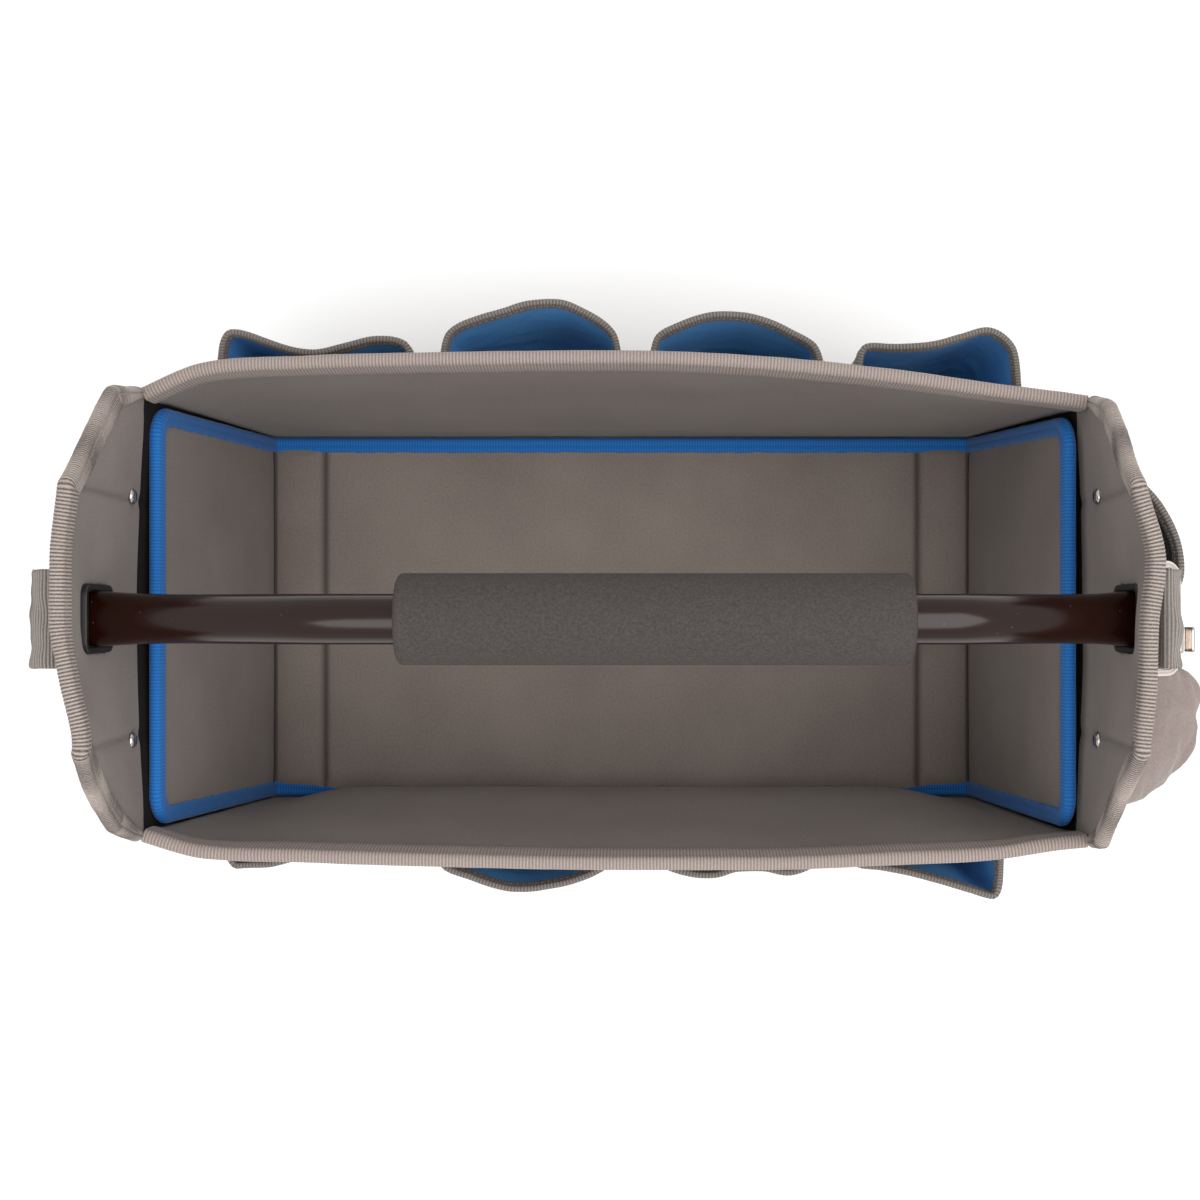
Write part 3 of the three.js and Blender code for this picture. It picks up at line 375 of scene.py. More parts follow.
def ribbed_tape(name, lit_crest, shaded_groove, period):
    """Grosgrain: round ribs across the tape, each a bundle of fine threads, with painted highlight
    on the crests and painted shade in the grooves.
    """
    material = bare_material(name)
    place = add_node(material, "ShaderNodeUVMap", {}, uv_map="cloth").outputs["UV"]
    ribs = add_node(material, "ShaderNodeTexWave", {"Vector": place, "Scale": bands(period)},
                    bands_direction="Y")
    threads = add_node(material, "ShaderNodeTexWave", {"Vector": place, "Scale": bands(0.55)},
                       bands_direction="X")
    speckle = add_node(material, "ShaderNodeTexNoise",
                       {"Vector": place, "Scale": 1 / (1.1 * MM), "Detail": 2.0})
    fleck = add_node(material, "ShaderNodeMath",
                     {0: speckle.outputs["Fac"], 1: 0.5}, operation="SUBTRACT")
    height = add_node(material, "ShaderNodeMath",
                      {0: ribs.outputs["Fac"], 1: fleck.outputs[0]}, operation="ADD",
                      use_clamp=True)
    colour = add_node(material, "ShaderNodeMix",
                      {0: height.outputs[0], 6: linear(shaded_groove), 7: linear(lit_crest)},
                      data_type="RGBA")
    relief = add_node(material, "ShaderNodeMath",
                      {0: speckle.outputs["Fac"], 1: threads.outputs["Fac"]}, operation="ADD")
    bump = add_node(material, "ShaderNodeBump",
                    {"Height": relief.outputs[0], "Strength": 0.4, "Distance": 0.15 * MM})
    shader = add_node(material, "ShaderNodeBsdfPrincipled",
                      {"Base Color": colour.outputs[2], "Normal": bump.outputs[0],
                       "Roughness": 0.8, "IOR": 1.5, "Specular IOR Level": 0.3,
                       "Sheen Weight": 0.15, "Sheen Roughness": 0.4})
    add_node(material, "ShaderNodeOutputMaterial", {"Surface": shader.outputs[0]})
    return material


# Polyester grosgrain, grey: pale crests and dark grooves every 1.9 mm, as painted highlight and
# shade.
grey_grosgrain = ribbed_tape("grey_grosgrain_tape", TAPE_LIT_CREST, TAPE_SHADED_GROOVE, RIB_PITCH)
# The same tape with finer and flatter ribs, round the rims: nearly plain, a speckled grey, with
# milder painted highlight and shade.
fine_grosgrain = ribbed_tape("fine_grey_grosgrain_tape", FINE_LIT_CREST, FINE_SHADED_GROOVE, RIB_PITCH)


def sewing_thread(name, colour):
    """Bonded polyester thread: smooth and slightly shiny."""
    material = bare_material(name)
    place = add_node(material, "ShaderNodeTexCoord", {}).outputs["Object"]
    twist = add_node(material, "ShaderNodeTexNoise",
                     {"Vector": place, "Scale": 1 / (0.8 * MM), "Detail": 1.0})
    bump = add_node(material, "ShaderNodeBump",
                    {"Height": twist.outputs["Fac"], "Strength": 0.3, "Distance": 0.1 * MM})
    shader = add_node(material, "ShaderNodeBsdfPrincipled",
                      {"Base Color": linear(colour), "Normal": bump.outputs[0],
                       "Roughness": 0.6, "Sheen Weight": 0.1})
    add_node(material, "ShaderNodeOutputMaterial", {"Surface": shader.outputs[0]})
    return material


# Polyester thread, pale grey: it catches the light a little above the tape.
grey_thread = sewing_thread("grey_thread", THREAD)


def even_path(points, step, looped=False):
    """The same line with points that far apart, counted along it."""
    points = np.asarray(points, float)
    if looped:
        points = np.concatenate([points, points[:1]])
    lengths = np.linalg.norm(np.diff(points, axis=0), axis=1)
    run = np.concatenate([[0], np.cumsum(lengths)])
    count = max(2, round(run[-1] / step))
    at = np.linspace(0, run[-1], count + 1)
    path = np.stack([np.interp(at, run, points[:, i]) for i in range(3)], axis=-1)
    return path[:-1] if looped else path


def unit(vectors):
    """The same directions, one long."""
    return vectors / np.linalg.norm(vectors, axis=-1, keepdims=True)


def ribs_along(path, pitch, looped=False):
    """Height from 0 to 1 of the ribs at each place on a path, in step with the tape's material."""
    closing = path[:1] if looped else path[:0]
    steps = np.linalg.norm(np.diff(np.concatenate([path, closing]), axis=0), axis=1)
    run = np.concatenate([[0], np.cumsum(steps)])[:len(path)]
    return 0.5 - 0.5 * np.cos(2 * math.pi * run / pitch)


def fold_outline(half, leg, over, radius, seam):
    """Half an outline of folded tape, from a leg's end to the crown: across the edge, and out
    past it. half is the half thickness and over the height of the crown above the edge."""
    sewn = over - seam
    leg_out = np.array([-leg, 0.15 - leg, 0.8 - leg, (sewn - leg - 1.3) / 2, sewn - 1.3,
                        sewn - 0.5, sewn, sewn + 0.5, sewn + 1.3])
    turn = np.linspace(0, math.pi / 2, 6)
    across = np.concatenate([np.full(9, half), half * np.cos(turn)])
    return across, np.concatenate([leg_out, over - radius + radius * np.sin(turn)])


def binding(name, path, outward, normal, half, leg, looped=False, thickness=TAPE, seed=0.0,
            ease=0.35, depth=RIB_DEPTH, dent=SEAM_DENT, taper=1.0):
    """Tape folded over an edge. path is the middle of the edge, outward points away from the
    cloth in its plane and normal square to it; half is half the cloth's thickness. taper is
    the share of the legs' length along the path. Also gives the two lines that are sewn."""
    over = SEAM_GAP + thickness
    face = half + over
    seam = min(SEAM_FROM_CROWN, 0.55 * (leg + over))
    across, out = fold_outline(face, leg, over, face * 0.8, seam)
    inner_across, inner_out = fold_outline(half + SEAM_GAP, leg, SEAM_GAP, half * 0.6,
                                           seam - thickness)
    across[:3] = face - thickness * np.array([0.8, 0.45, 0.1])
    across[3] += 0.25
    across[5:8] -= dent * np.array([0.6, 1, 0.6])
    mirrored = [np.concatenate([a, sign * a[::-1]]) for a, sign in (
        (across, -1), (out, 1), (inner_across, -1), (inner_out, 1))]
    across, out, inner_across, inner_out = mirrored
    taper = np.broadcast_to(taper, len(path))[:, None]
    flat_share = np.clip((out - over + face * 0.8) / (face * 0.8), 0, 1)
    out = np.where(out < 0, out * taper, out)
    inner_out = np.where(inner_out < 0, inner_out * taper, inner_out)
    rib = ribs_along(path, RIB_PITCH, looped)
    uneven = 1 + 0.5 * waver(path, 2.4, seed + 5.2)
    lift = (depth * (rib * uneven - 1))[:, None]
    sway = ease * waver(path, 16, seed + 1.7)[:, None]
    low = np.zeros(len(across))
    low[[0, 1, 2, -3, -2, -1]] = 1
    edge_sway = 0.6 * waver(path, 5, seed + 9.4)[:, None] * low
    side = np.sign(across)
    a = across + side * (sway * 0.6 * (1 - flat_share) + lift * (1 - flat_share ** 2))
    o = out + lift * flat_share + sway * flat_share + edge_sway
    outer = path[:, None] + normal[:, None] * a[..., None] + outward[:, None] * o[..., None]
    a = inner_across + side * sway * 0.6 * (1 - flat_share)
    o = inner_out + sway * flat_share + edge_sway
    inner = path[:, None] + normal[:, None] * a[..., None] + outward[:, None] * o[..., None]
    piece = loft(name, there_and_back(outer, inner), looped)
    seams = [(outer[:, 6], normal), (outer[:, -7], -normal)]
    return piece, seams


def stitched(name, lines, thread):
    """Lock stitches along lines: each line is its points and the way that the cloth faces."""
    along = np.array([-0.5, -0.38, 0, 0.38, 0.5]) * STITCH
    thick = np.array([0.2, 0.85, 1, 0.85, 0.2]) * STITCH_THICK / 2
    sink = np.array([-0.35, 0.0, 0.12, 0.0, -0.35])
    turn = np.linspace(0, 2 * math.pi, 7)[:-1]
    rings = []
    for points, facing in lines:
        run = np.concatenate([[0], np.cumsum(np.linalg.norm(np.diff(points, axis=0), axis=1))])
        at = np.arange(STITCH_PITCH, run[-1] - STITCH_PITCH, STITCH_PITCH)
        middle, ahead, behind, up = (
            np.stack([np.interp(where, run, values[:, i]) for i in range(3)], axis=-1)
            for where, values in ((at, points), (at + 1, points), (at - 1, points), (at, facing)))
        go = unit(ahead - behind)
        side = unit(np.cross(go, up))
        up = np.cross(side, go)
        centre = (middle[:, None] + go[:, None] * along[:, None]
                  + up[:, None] * (sink + STITCH_THICK * 0.2)[:, None])
        rings.append(centre[:, :, None] + thick[:, None, None] * (
            side[:, None, None] * np.cos(turn)[:, None]
            + up[:, None, None] * np.sin(turn)[:, None]))
    rings = np.concatenate(rings)
    count = len(rings)
    ring, corner = np.meshgrid(np.arange(4), np.arange(6), indexing="ij")
    sides = np.stack([ring * 6 + corner, ring * 6 + (corner + 1) % 6,
                      (ring + 1) * 6 + (corner + 1) % 6, (ring + 1) * 6 + corner],
                     axis=-1).reshape(-1, 4)
    ends = [[3, 2, 1, 0], [5, 4, 3, 0], [24, 25, 26, 27], [24, 27, 28, 29]]
    faces = (np.concatenate([sides, ends])[None] + np.arange(count)[:, None, None] * 30)
    mesh = bpy.data.meshes.new(name)
    mesh.from_pydata((rings.reshape(-1, 3) * MM).tolist(), [], faces.reshape(-1, 4).tolist())
    mesh.shade_smooth()
    piece = bpy.data.objects.new(name, mesh)
    bpy.context.scene.collection.objects.link(piece)
    piece.data.materials.append(thread)
    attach(piece, "root")
    return piece


for side in SIDES:
    rim_along = np.linspace(-1, 1, 400)
    path = even_path(long_point(side, rim_along, RIM_HEIGHT, -WALL / 2), RIB_PITCH / RIB_STEPS)
    share = path[:, 0] / long_reach(RIM_HEIGHT)
    below = long_point(side, share, RIM_HEIGHT - RIM_LEG, -WALL / 2)
    below[:, 0] = path[:, 0]
    outward = unit(path - below)
    tangent = unit(np.gradient(path, axis=0))
    piece, seams = binding(f"folded_{side}_rim_tape", path, outward,
                           unit(np.cross(tangent, outward)), WALL / 2, RIM_LEG,
                           seed=SIDES[side], depth=0.14)
    piece.data.materials.append(fine_grosgrain)
    fit(piece, "binding", f"{side}_rim_binding")
    stitched(f"{side}_rim_stitches", seams, grey_thread)


# End walls. The same padded cloth, taller than the long walls, with upright ears, sloping
# shoulders and a flat top; a slot below the top lets the handle through.
EAR_HEIGHT = 39
END_TOP = 134
SLOT_DROP = 27
SLOT_HEIGHT = 42
SLOT_CORNER = 6
SLOT_WIDTH = 35.4
CREASE_AT = 66
# Painted shade: near-black colours for the inside of the end walls behind the liner.
GAP_SHADE_PALE = "#1a1210"
GAP_SHADE_DEEP = "#120d0b"
ENDS = {"left": -1, "right": 1}
WARP_POWER = 2
# Up to where the painted shade in the gap behind the liner shows above the liner.
GAP_SHADE_TOP = {"left": 240, "right": 223}
# How far each ear leans in over the opening.
EAR_IN = {"left": {"back": 4.5, "front": 10.5}, "right": {"back": 8, "front": 5.5}}
# How far the limp free edges stand out of line, at places across them.
END_WARP = {
    "y": [-130, -90, -62, -31, 0, 28, 73, 100, 130],
    "left": [3.5, -3, -10, -4, 1, 1, -2.7, 0, 3.5],
    "right": [-8.5, -10, -9, -6.4, -5.5, -2, -11.7, -7, -2.5],
}


def end_edge(end, y, z):
    """Half width of an end wall at a height, on the side that y is on."""
    side = np.where(np.asarray(y) > 0, 1, 0)
    at_rim = np.minimum(z, RIM_HEIGHT)
    corner = np.where(side, long_outer("back", np.float64(ENDS[end]), at_rim),
                      long_outer("front", np.float64(ENDS[end]), at_rim))
    over_rim = np.clip((z - RIM_HEIGHT) / EAR_HEIGHT, 0, 1)
    corner = corner - over_rim * np.where(side, EAR_IN[end]["back"], EAR_IN[end]["front"])
    shoulder = (z - RIM_HEIGHT - EAR_HEIGHT) / (END_HEIGHT - RIM_HEIGHT - EAR_HEIGHT)
    return corner + (END_TOP / 2 - corner) * np.maximum(0, shoulder)


def end_point(end, y, z, out):
    """A point out from an end wall's inner face, which is warped above the rim."""
    y, z, out = np.broadcast_arrays(*(np.asarray(v, float) for v in (y, z, out)))
    corner = BODY_WIDTH / 2 - END_TOP / 2
    down_shoulder = np.clip((np.abs(y) - END_TOP / 2) / corner, 0, 1)
    edge = END_HEIGHT - (END_HEIGHT - RIM_HEIGHT - EAR_HEIGHT) * down_shoulder
    up = np.clip((z - RIM_HEIGHT) / (edge - RIM_HEIGHT), 0, 1.1) ** WARP_POWER
    warp = through(END_WARP["y"], END_WARP[end], y) * up
    return np.stack([ENDS[end] * (end_inner(y, z) + warp + out), y, z], axis=-1)


# Painted shade: near-black cloth on the inside of the end walls, where the liner stands in front of
# it, for the deep shadow in the gap between them.
painted_gap_shade = woven_cloth("painted_gap_shade_cloth", GAP_SHADE_PALE, GAP_SHADE_DEEP, 1.0, 0.95, 0.0)


def paint_crease_shade(piece, amount):
    """Paints shade into the cloth, from 0 to 1, where a test on its points in mm puts a crease or
    fold.
    """
    points = np.empty(len(piece.data.vertices) * 3)
    piece.data.vertices.foreach_get("co", points)
    marks = piece.data.attributes.new("painted_crease_shade", "FLOAT", "POINT")
    marks.data.foreach_set("value", np.clip(amount(points.reshape(-1, 3) / MM), 0, 1))


slot_top = END_HEIGHT - SLOT_DROP
slot_middle = slot_top - SLOT_HEIGHT / 2
end_across, end_z = np.meshgrid(np.linspace(-1, 1, 121), np.linspace(BASE, END_HEIGHT, 141))
for end, sign in ENDS.items():
    half_width = end_edge(end, end_across, end_z)
    y = end_across * half_width
    from_seam = np.minimum.reduce([half_width * (1 - abs(end_across)), END_HEIGHT - end_z,
                                   end_z - BASE]) - 12
    puff = WALL_PUFF * np.clip(from_seam / 14, 0, 1) ** 0.5
    middle = end_point(end, y, end_z, WALL / 2)
    soft = 0.7 * waver(middle, 50, 11.3 + sign) * np.clip(from_seam / 30, 0, 1)
    pucker = 0.3 * waver(middle * [1, 1, 0.4], 7, 2.9) * np.exp(-np.abs(from_seam) / 9)
    fold = np.exp(-((np.abs(y) - CREASE_AT) / 3.5) ** 2) * np.clip((end_z - 120) / 90, 0, 1)
    piece = loft(f"padded_{end}_end_wall", there_and_back(
        end_point(end, y, end_z, WALL + puff + soft + pucker),
        end_point(end, y, end_z, -puff + soft - pucker + 0.9 * fold)))
    bpy.ops.object.select_all(action="DESELECT")
    bpy.ops.mesh.primitive_cube_add(size=1, location=(
        sign * float(end_inner(0, slot_middle)) * MM, 0, slot_middle * MM))
    cutter = bpy.context.object
    cutter.scale = (40 * MM, (SLOT_WIDTH + 2 * GAP) * MM, (SLOT_HEIGHT + 2 * GAP) * MM)
    apply_all(cutter)
    edit(cutter)
    pick(cutter, "edges", lambda ends: abs(ends[0].x - ends[1].x) > 20 * MM)
    bpy.ops.mesh.bevel(offset=SLOT_CORNER * MM, segments=6)
    bpy.ops.object.mode_set(mode="OBJECT")
    cut = piece.modifiers.new("slot", "BOOLEAN")
    cut.object = cutter
    cut.operation = "DIFFERENCE"
    cut.solver = "EXACT"
    apply_all(piece)
    bpy.data.objects.remove(cutter)
    piece.data.materials.append(oxford_cloth)
    piece.data.materials.append(painted_gap_shade)
    # Painted shade: inner faces below that height take the near-black cloth.
    for face in piece.data.polygons:
        inside = sign * face.normal.x < -0.5
        face.material_index = int(inside and face.center.z < GAP_SHADE_TOP[end] * MM)
    # Painted shade along the upright creases of the ears, above the rim.
    paint_crease_shade(piece, lambda p: 0.4 * np.exp(-((np.abs(p[:, 1]) - CREASE_AT) / 1.6) ** 2)
          * (p[:, 2] > RIM_HEIGHT) * (sign * p[:, 0] < end_inner(CREASE_AT, p[:, 2]) + 3))
    fit(piece, "cloth", f"{end}_end_wall")


# End bindings. The same tape round the free edge of each end wall, from rim to rim over the
# shoulders and the top, a little wavy where it was eased round the corners.
END_LEG = 12
OUTLINE_ROUND = 5


def end_outline(end):
    """Round an end wall's free edge, from the rim in front over the top to the back."""
    heights = [RIM_HEIGHT + TAPE + 1, RIM_HEIGHT + EAR_HEIGHT, END_HEIGHT]
    front = [(-float(end_edge(end, -1, z)), z) for z in heights]
    back = [(float(end_edge(end, 1, z)), z) for z in heights]
    corners = np.array([(0, *place) for place in front + back[::-1]])
    path = even_path(corners, 0.5)
    window = int(OUTLINE_ROUND / 0.5)
    padded = np.concatenate([np.repeat(path[:1], window, axis=0), path,
                             np.repeat(path[-1:], window, axis=0)])
    kernel = np.hanning(2 * window + 1) / np.hanning(2 * window + 1).sum()
    return np.stack([np.convolve(padded[:, i], kernel, "valid") for i in (1, 2)], axis=-1)


for end, sign in ENDS.items():
    flat = end_outline(end)
    path = even_path(end_point(end, flat[:, 0], flat[:, 1], WALL / 2), RIB_PITCH / RIB_STEPS)
    tangent = unit(np.gradient(path, axis=0))
    inward = np.stack([tangent[:, 2], -tangent[:, 1]], axis=-1)
    inside = end_point(end, path[:, 1] + 10 * inward[:, 0], path[:, 2] + 10 * inward[:, 1],
                       WALL / 2)
    outward = unit(path - inside)
    from_end = np.minimum(np.arange(len(path)), np.arange(len(path))[::-1])
    from_end = from_end * RIB_PITCH / RIB_STEPS
    piece, seams = binding(f"folded_{end}_end_tape", path, outward,
                           unit(np.cross(tangent, outward)), WALL / 2, END_LEG,
                           seed=7.0 + sign, ease=0.5,
                           taper=np.clip(0.4 + from_end / 70, 0.4, 1))
    piece.data.materials.append(grey_grosgrain)
    fit(piece, "binding", f"{end}_end_binding")
    stitched(f"{end}_end_stitches", seams, grey_thread)


# Corner bindings. The same tape, sewn flat over the upright seam where an end wall meets a long
# wall, from the base up to the rim binding.
CORNER_LEG = 8
CORNER_GAP = 0.7
for end, sign in ENDS.items():
    for side, way in SIDES.items():
        z = np.linspace(BASE, RIM_HEIGHT - RIM_LEG - GAP, round(225 / (RIB_PITCH / RIB_STEPS)))
        corner = end_edge(end, way, z)
        outside = end_inner(corner, z) + WALL
        leg_x = long_reach(z) * (1 - CORNER_LEG / (BODY_LENGTH / 2))
        leg_y = long_outer(side, np.float64(sign * (1 - CORNER_LEG / (BODY_LENGTH / 2))), z)
        rise = RIB_DEPTH * (ribs_along(np.stack([0 * z, 0 * z, z], axis=-1), RIB_PITCH) - 1)

        def section(face):
            turn = np.linspace(0, math.pi / 2, 5)[:, None]
            radius = 2.5
            x = np.concatenate([[outside + face, outside + face],
                                outside + face - radius + radius * np.cos(turn),
                                [long_reach(z), leg_x]])
            y = np.concatenate([[corner - CORNER_LEG, corner - CORNER_LEG / 2],
                                corner + face - radius + radius * np.sin(turn),
                                [corner + face, leg_y + face]])
            points = np.stack([sign * x, way * y, z + 0 * x], axis=-1)
            return points.transpose(1, 0, 2)

        piece = loft(f"sewn_{side}_{end}_corner_tape", there_and_back(
            section(CORNER_GAP + TAPE + rise), section(CORNER_GAP + 0 * rise)))
        piece.data.materials.append(grey_grosgrain)
        fit(piece, "binding", f"{side}_{end}_corner_binding")


# Liner. One padded strip that lies loose on the floor and stands up against both end walls,
# folded where floor and wall meet and creased across near each end of the floor.
LINER = 4
LINER_WIDTH = 250
LINER_HEIGHT = 231
LINER_FOLD = 4
LINER_END_GAP = 4
LINER_CORNER = 18
CREASE_FROM_END = 38
CREASE_DEPTH = 3.2
CREASE_WIDTH = 2.2
FOLD_DEPTH = 2.0
BOLSTER = 3.0
# How far the top edge of each end panel reaches to the front and to the back.
LINER_TOP_EDGES = {"left": (117.2, 119.8), "right": (119.0, 114.2)}
LEFT_LEAN = 3.5
liner_floor = BASE + 0.4 + TAPE + GAP + LINER / 2
liner_foot = float(long_reach(BASE)) - GAP - TAPE - 0.4 - LINER / 2
liner_top = float(end_inner(BODY_WIDTH / 2, LINER_HEIGHT)) - LINER_END_GAP - LINER / 2
panel_lean = math.atan2(liner_top - liner_foot, LINER_HEIGHT - liner_floor)
panel_length = math.hypot(liner_top - liner_foot, LINER_HEIGHT - liner_floor)


def liner_line():
    """The strip's middle line from the left top over the floor to the right top, in x and z."""
    fold = LINER_FOLD * math.tan((math.pi / 2 - panel_lean) / 2)
    turn = np.linspace(0, math.pi / 2 - panel_lean, 12)
    half = [(0, 0, liner_floor), (liner_foot - fold, 0, liner_floor)]
    half += [(liner_foot - fold + LINER_FOLD * math.sin(a), 0,
              liner_floor + LINER_FOLD * (1 - math.cos(a))) for a in turn[1:]]
    half += [(liner_top, 0, LINER_HEIGHT)]
    half = np.array(half)
    left = half[::-1] * [-1, 1, 1]
    left[0, 0] -= LEFT_LEAN
    return np.concatenate([left, half[1:]])


strip = even_path(liner_line(), 1.0)
strip_run = np.arange(len(strip)) * np.linalg.norm(strip[1] - strip[0])
strip_length = strip_run[-1]
strip_tangent = unit(np.gradient(strip, axis=0))
strip_normal = np.stack([-strip_tangent[:, 2], 0 * strip_run, strip_tangent[:, 0]], axis=-1)


def strip_place(run, y, up):
    """A point on the liner: run along the strip from its left top, y across, up off its middle."""
    where = np.stack([np.interp(run, strip_run, strip[:, i]) for i in range(3)], axis=-1)
    facing = np.stack([np.interp(run, strip_run, strip_normal[:, i]) for i in range(3)], axis=-1)
    return where + unit(facing) * np.asarray(up)[..., None] + np.asarray(y)[..., None] * [0, 1, 0]


def strip_half_width(run, way):
    """Reach of the strip to the back or the front: full on the floor, less up the panels."""
    drop = np.minimum(run, strip_length - run) / panel_length
    edges = [LINER_TOP_EDGES[end][way > 0] for end in ("left", "right")]
    top = np.where(run < strip_length / 2, edges[0], edges[1])
    return top + (LINER_WIDTH / 2 - top) * np.minimum(1, drop)


def rounded_half_width(run, way):
    """The same with the strip's four corners rounded."""
    from_end = np.minimum(run, strip_length - run)
    side = np.clip(LINER_CORNER - from_end, 0, LINER_CORNER)
    return strip_half_width(run, way) - LINER_CORNER + np.sqrt(LINER_CORNER ** 2 - side ** 2)


near_foot = np.arange(panel_length - 10, panel_length + CREASE_FROM_END + 8, 0.9)
half_rows = np.concatenate([np.linspace(0, LINER_CORNER, 14)[:-1],
                            np.linspace(LINER_CORNER, near_foot[0], 90)[:-1], near_foot,
                            np.linspace(near_foot[-1], strip_length / 2, 90)[1:]])
liner_rows = np.concatenate([half_rows, strip_length - half_rows[:-1][::-1]])
liner_run, liner_across = np.meshgrid(liner_rows, np.linspace(-1, 1, 81), indexing="ij")
liner_reach = np.where(liner_across > 0, rounded_half_width(liner_run, 1),
                       rounded_half_width(liner_run, -1))
liner_y = liner_across * liner_reach
from_foot = np.minimum(liner_run, strip_length - liner_run) - panel_length + 2
crease = (CREASE_DEPTH * np.exp(-np.abs((from_foot - CREASE_FROM_END) / CREASE_WIDTH) ** 1.5)
          + FOLD_DEPTH * np.exp(-(from_foot / 2.5) ** 2)
          - BOLSTER * np.sin(math.pi * np.clip(from_foot / CREASE_FROM_END, 0, 1)) ** 0.6)
from_edge = np.minimum(liner_reach * (1 - abs(liner_across)),
                       np.minimum(liner_run, strip_length - liner_run)) - 9
on_floor = np.clip((np.minimum(liner_run, strip_length - liner_run) - panel_length) / 20, 0, 1)
flat = strip_place(liner_run, liner_y, 0 * liner_run)
liner_puff = 0.7 * np.clip(from_edge / 16, 0, 1) ** 0.5
liner_soft = 0.6 * waver(flat, 60, 21.7) * np.clip(from_edge / 30, 0, 1)
piece = loft("padded_liner", there_and_back(
    strip_place(liner_run, liner_y, LINER / 2 + liner_puff + liner_soft
                - crease * np.clip(from_edge / 4 + 1, 0.15, 1)),
    strip_place(liner_run, liner_y, -LINER / 2 + 0.3 * liner_soft * (1 - on_floor))))
piece.data.materials.append(oxford_cloth)
# Painted shade: darker in the crease across the floor, in the fold at the foot and beside that fold
# on both sides.
fold_shade = (0.75 * np.exp(-np.abs((from_foot - CREASE_FROM_END) / 1.5) ** 1.5)
              + 0.85 * np.exp(-np.abs(from_foot / 1.8) ** 1.5)
              + 0.45 * np.exp(-np.clip(-from_foot, 0, 60) / 7) * (from_foot < 0)
              + 0.3 * np.exp(-np.clip(from_foot, 0, 60) / 10) * (from_foot >= 0))
fold_shade = np.concatenate([fold_shade, 0 * fold_shade], axis=1).ravel()
paint_crease_shade(piece, lambda p: fold_shade)
fit(piece, "cloth", "liner")


# Liner binding. Blue grosgrain folded all round the liner's edge and sewn through. Along the
# front of the floor it is tucked under the wall.
LINER_LEG = 9
# Painted highlight and shade for the crests and grooves of the blue tape.
TAPE_BLUE_LIT_CREST = "#2070ba"
TAPE_BLUE_SHADED_GROOVE = "#12569c"
# Polyester grosgrain, bright blue: the same ribs, with painted highlight on their crests and
# painted shade, deep blue, in their grooves.
blue_grosgrain = ribbed_tape("blue_grosgrain_tape", TAPE_BLUE_LIT_CREST, TAPE_BLUE_SHADED_GROOVE, RIB_PITCH)


def strip_outline():
    """The liner's edge as places on the flat strip, all the way round: run and y."""
    long_edge = np.linspace(LINER_CORNER, strip_length - LINER_CORNER, 900)
    turn = np.linspace(0, math.pi / 2, 16)[1:-1]
    low_run = LINER_CORNER * (1 - np.sin(turn))
    (left_front, left_back), (right_front, right_back) = (
        [rounded_half_width(low_run if end == "left" else strip_length - low_run, way)
         for way in (-1, 1)] for end in ("left", "right"))
    run = np.concatenate([long_edge, strip_length - low_run, strip_length - low_run[::-1],
                          long_edge[::-1], low_run, low_run[::-1]])
    y = np.concatenate([strip_half_width(long_edge, 1), right_back, -right_front[::-1],
                        -strip_half_width(long_edge[::-1], -1), -left_front, left_back[::-1]])
    return run, y


outline_run, outline_y = strip_outline()
flat_path = even_path(np.stack([outline_run, outline_y, 0 * outline_run], axis=-1),
                      RIB_PITCH * 0.8, looped=True)
path = strip_place(flat_path[:, 0], flat_path[:, 1], 0 * flat_path[:, 0])
flat_tangent = unit(np.roll(flat_path, -1, axis=0) - np.roll(flat_path, 1, axis=0))
ahead = strip_place(flat_path[:, 0] + 0.5, flat_path[:, 1], 0 * flat_path[:, 0])
behind = strip_place(flat_path[:, 0] - 0.5, flat_path[:, 1], 0 * flat_path[:, 0])
along_strip = unit(ahead - behind + 1e-9)
outward = unit(along_strip * -flat_tangent[:, 1:2] + np.array([0, 1, 0]) * flat_tangent[:, :1])
tangent = unit(np.roll(path, -1, axis=0) - np.roll(path, 1, axis=0))
tucked = (path[:, 1] < 0) & (np.abs(path[:, 0]) < 240)
slim = 1 - 0.6 * tucked * np.clip((240 - np.abs(path[:, 0])) / 45, 0, 1)
piece, seams = binding("folded_liner_tape", path, outward, unit(np.cross(tangent, outward)),
                       LINER / 2, LINER_LEG, looped=True, seed=13.0, ease=0.2, depth=0.0,
                       dent=0.3, taper=slim)
piece.data.materials.append(blue_grosgrain)
fit(piece, "blue_binding", "liner_binding")


# Handle tube. Steel tube enamelled black, raised in the middle and pressed flat and wide at both
# ends, where it sits in the slots.
TUBE = 25
TUBE_WALL = 1.5
TUBE_TOP = 360
TUBE_END = 318
TUBE_RAISED = 317
TUBE_SHIFT = 15.5
FLARE_WIDTH = 28.6
FLARE_HEIGHT = 20
TUBE_SIDES = 48
ENAMEL = "#1c0804"
ENAMEL_DUST = "#5a504a"
TUBE_FALL = {
    "along": [-0.1, 0, 0.1, 0.35, 0.7, 0.86, 0.93, 1],
    "rise": [1, 0.985, 0.93, 0.65, 0.23, 0.07, 0.02, 0],
    "flare": [0, 0, 0, 0, 0.15, 0.7, 1, 1],
}


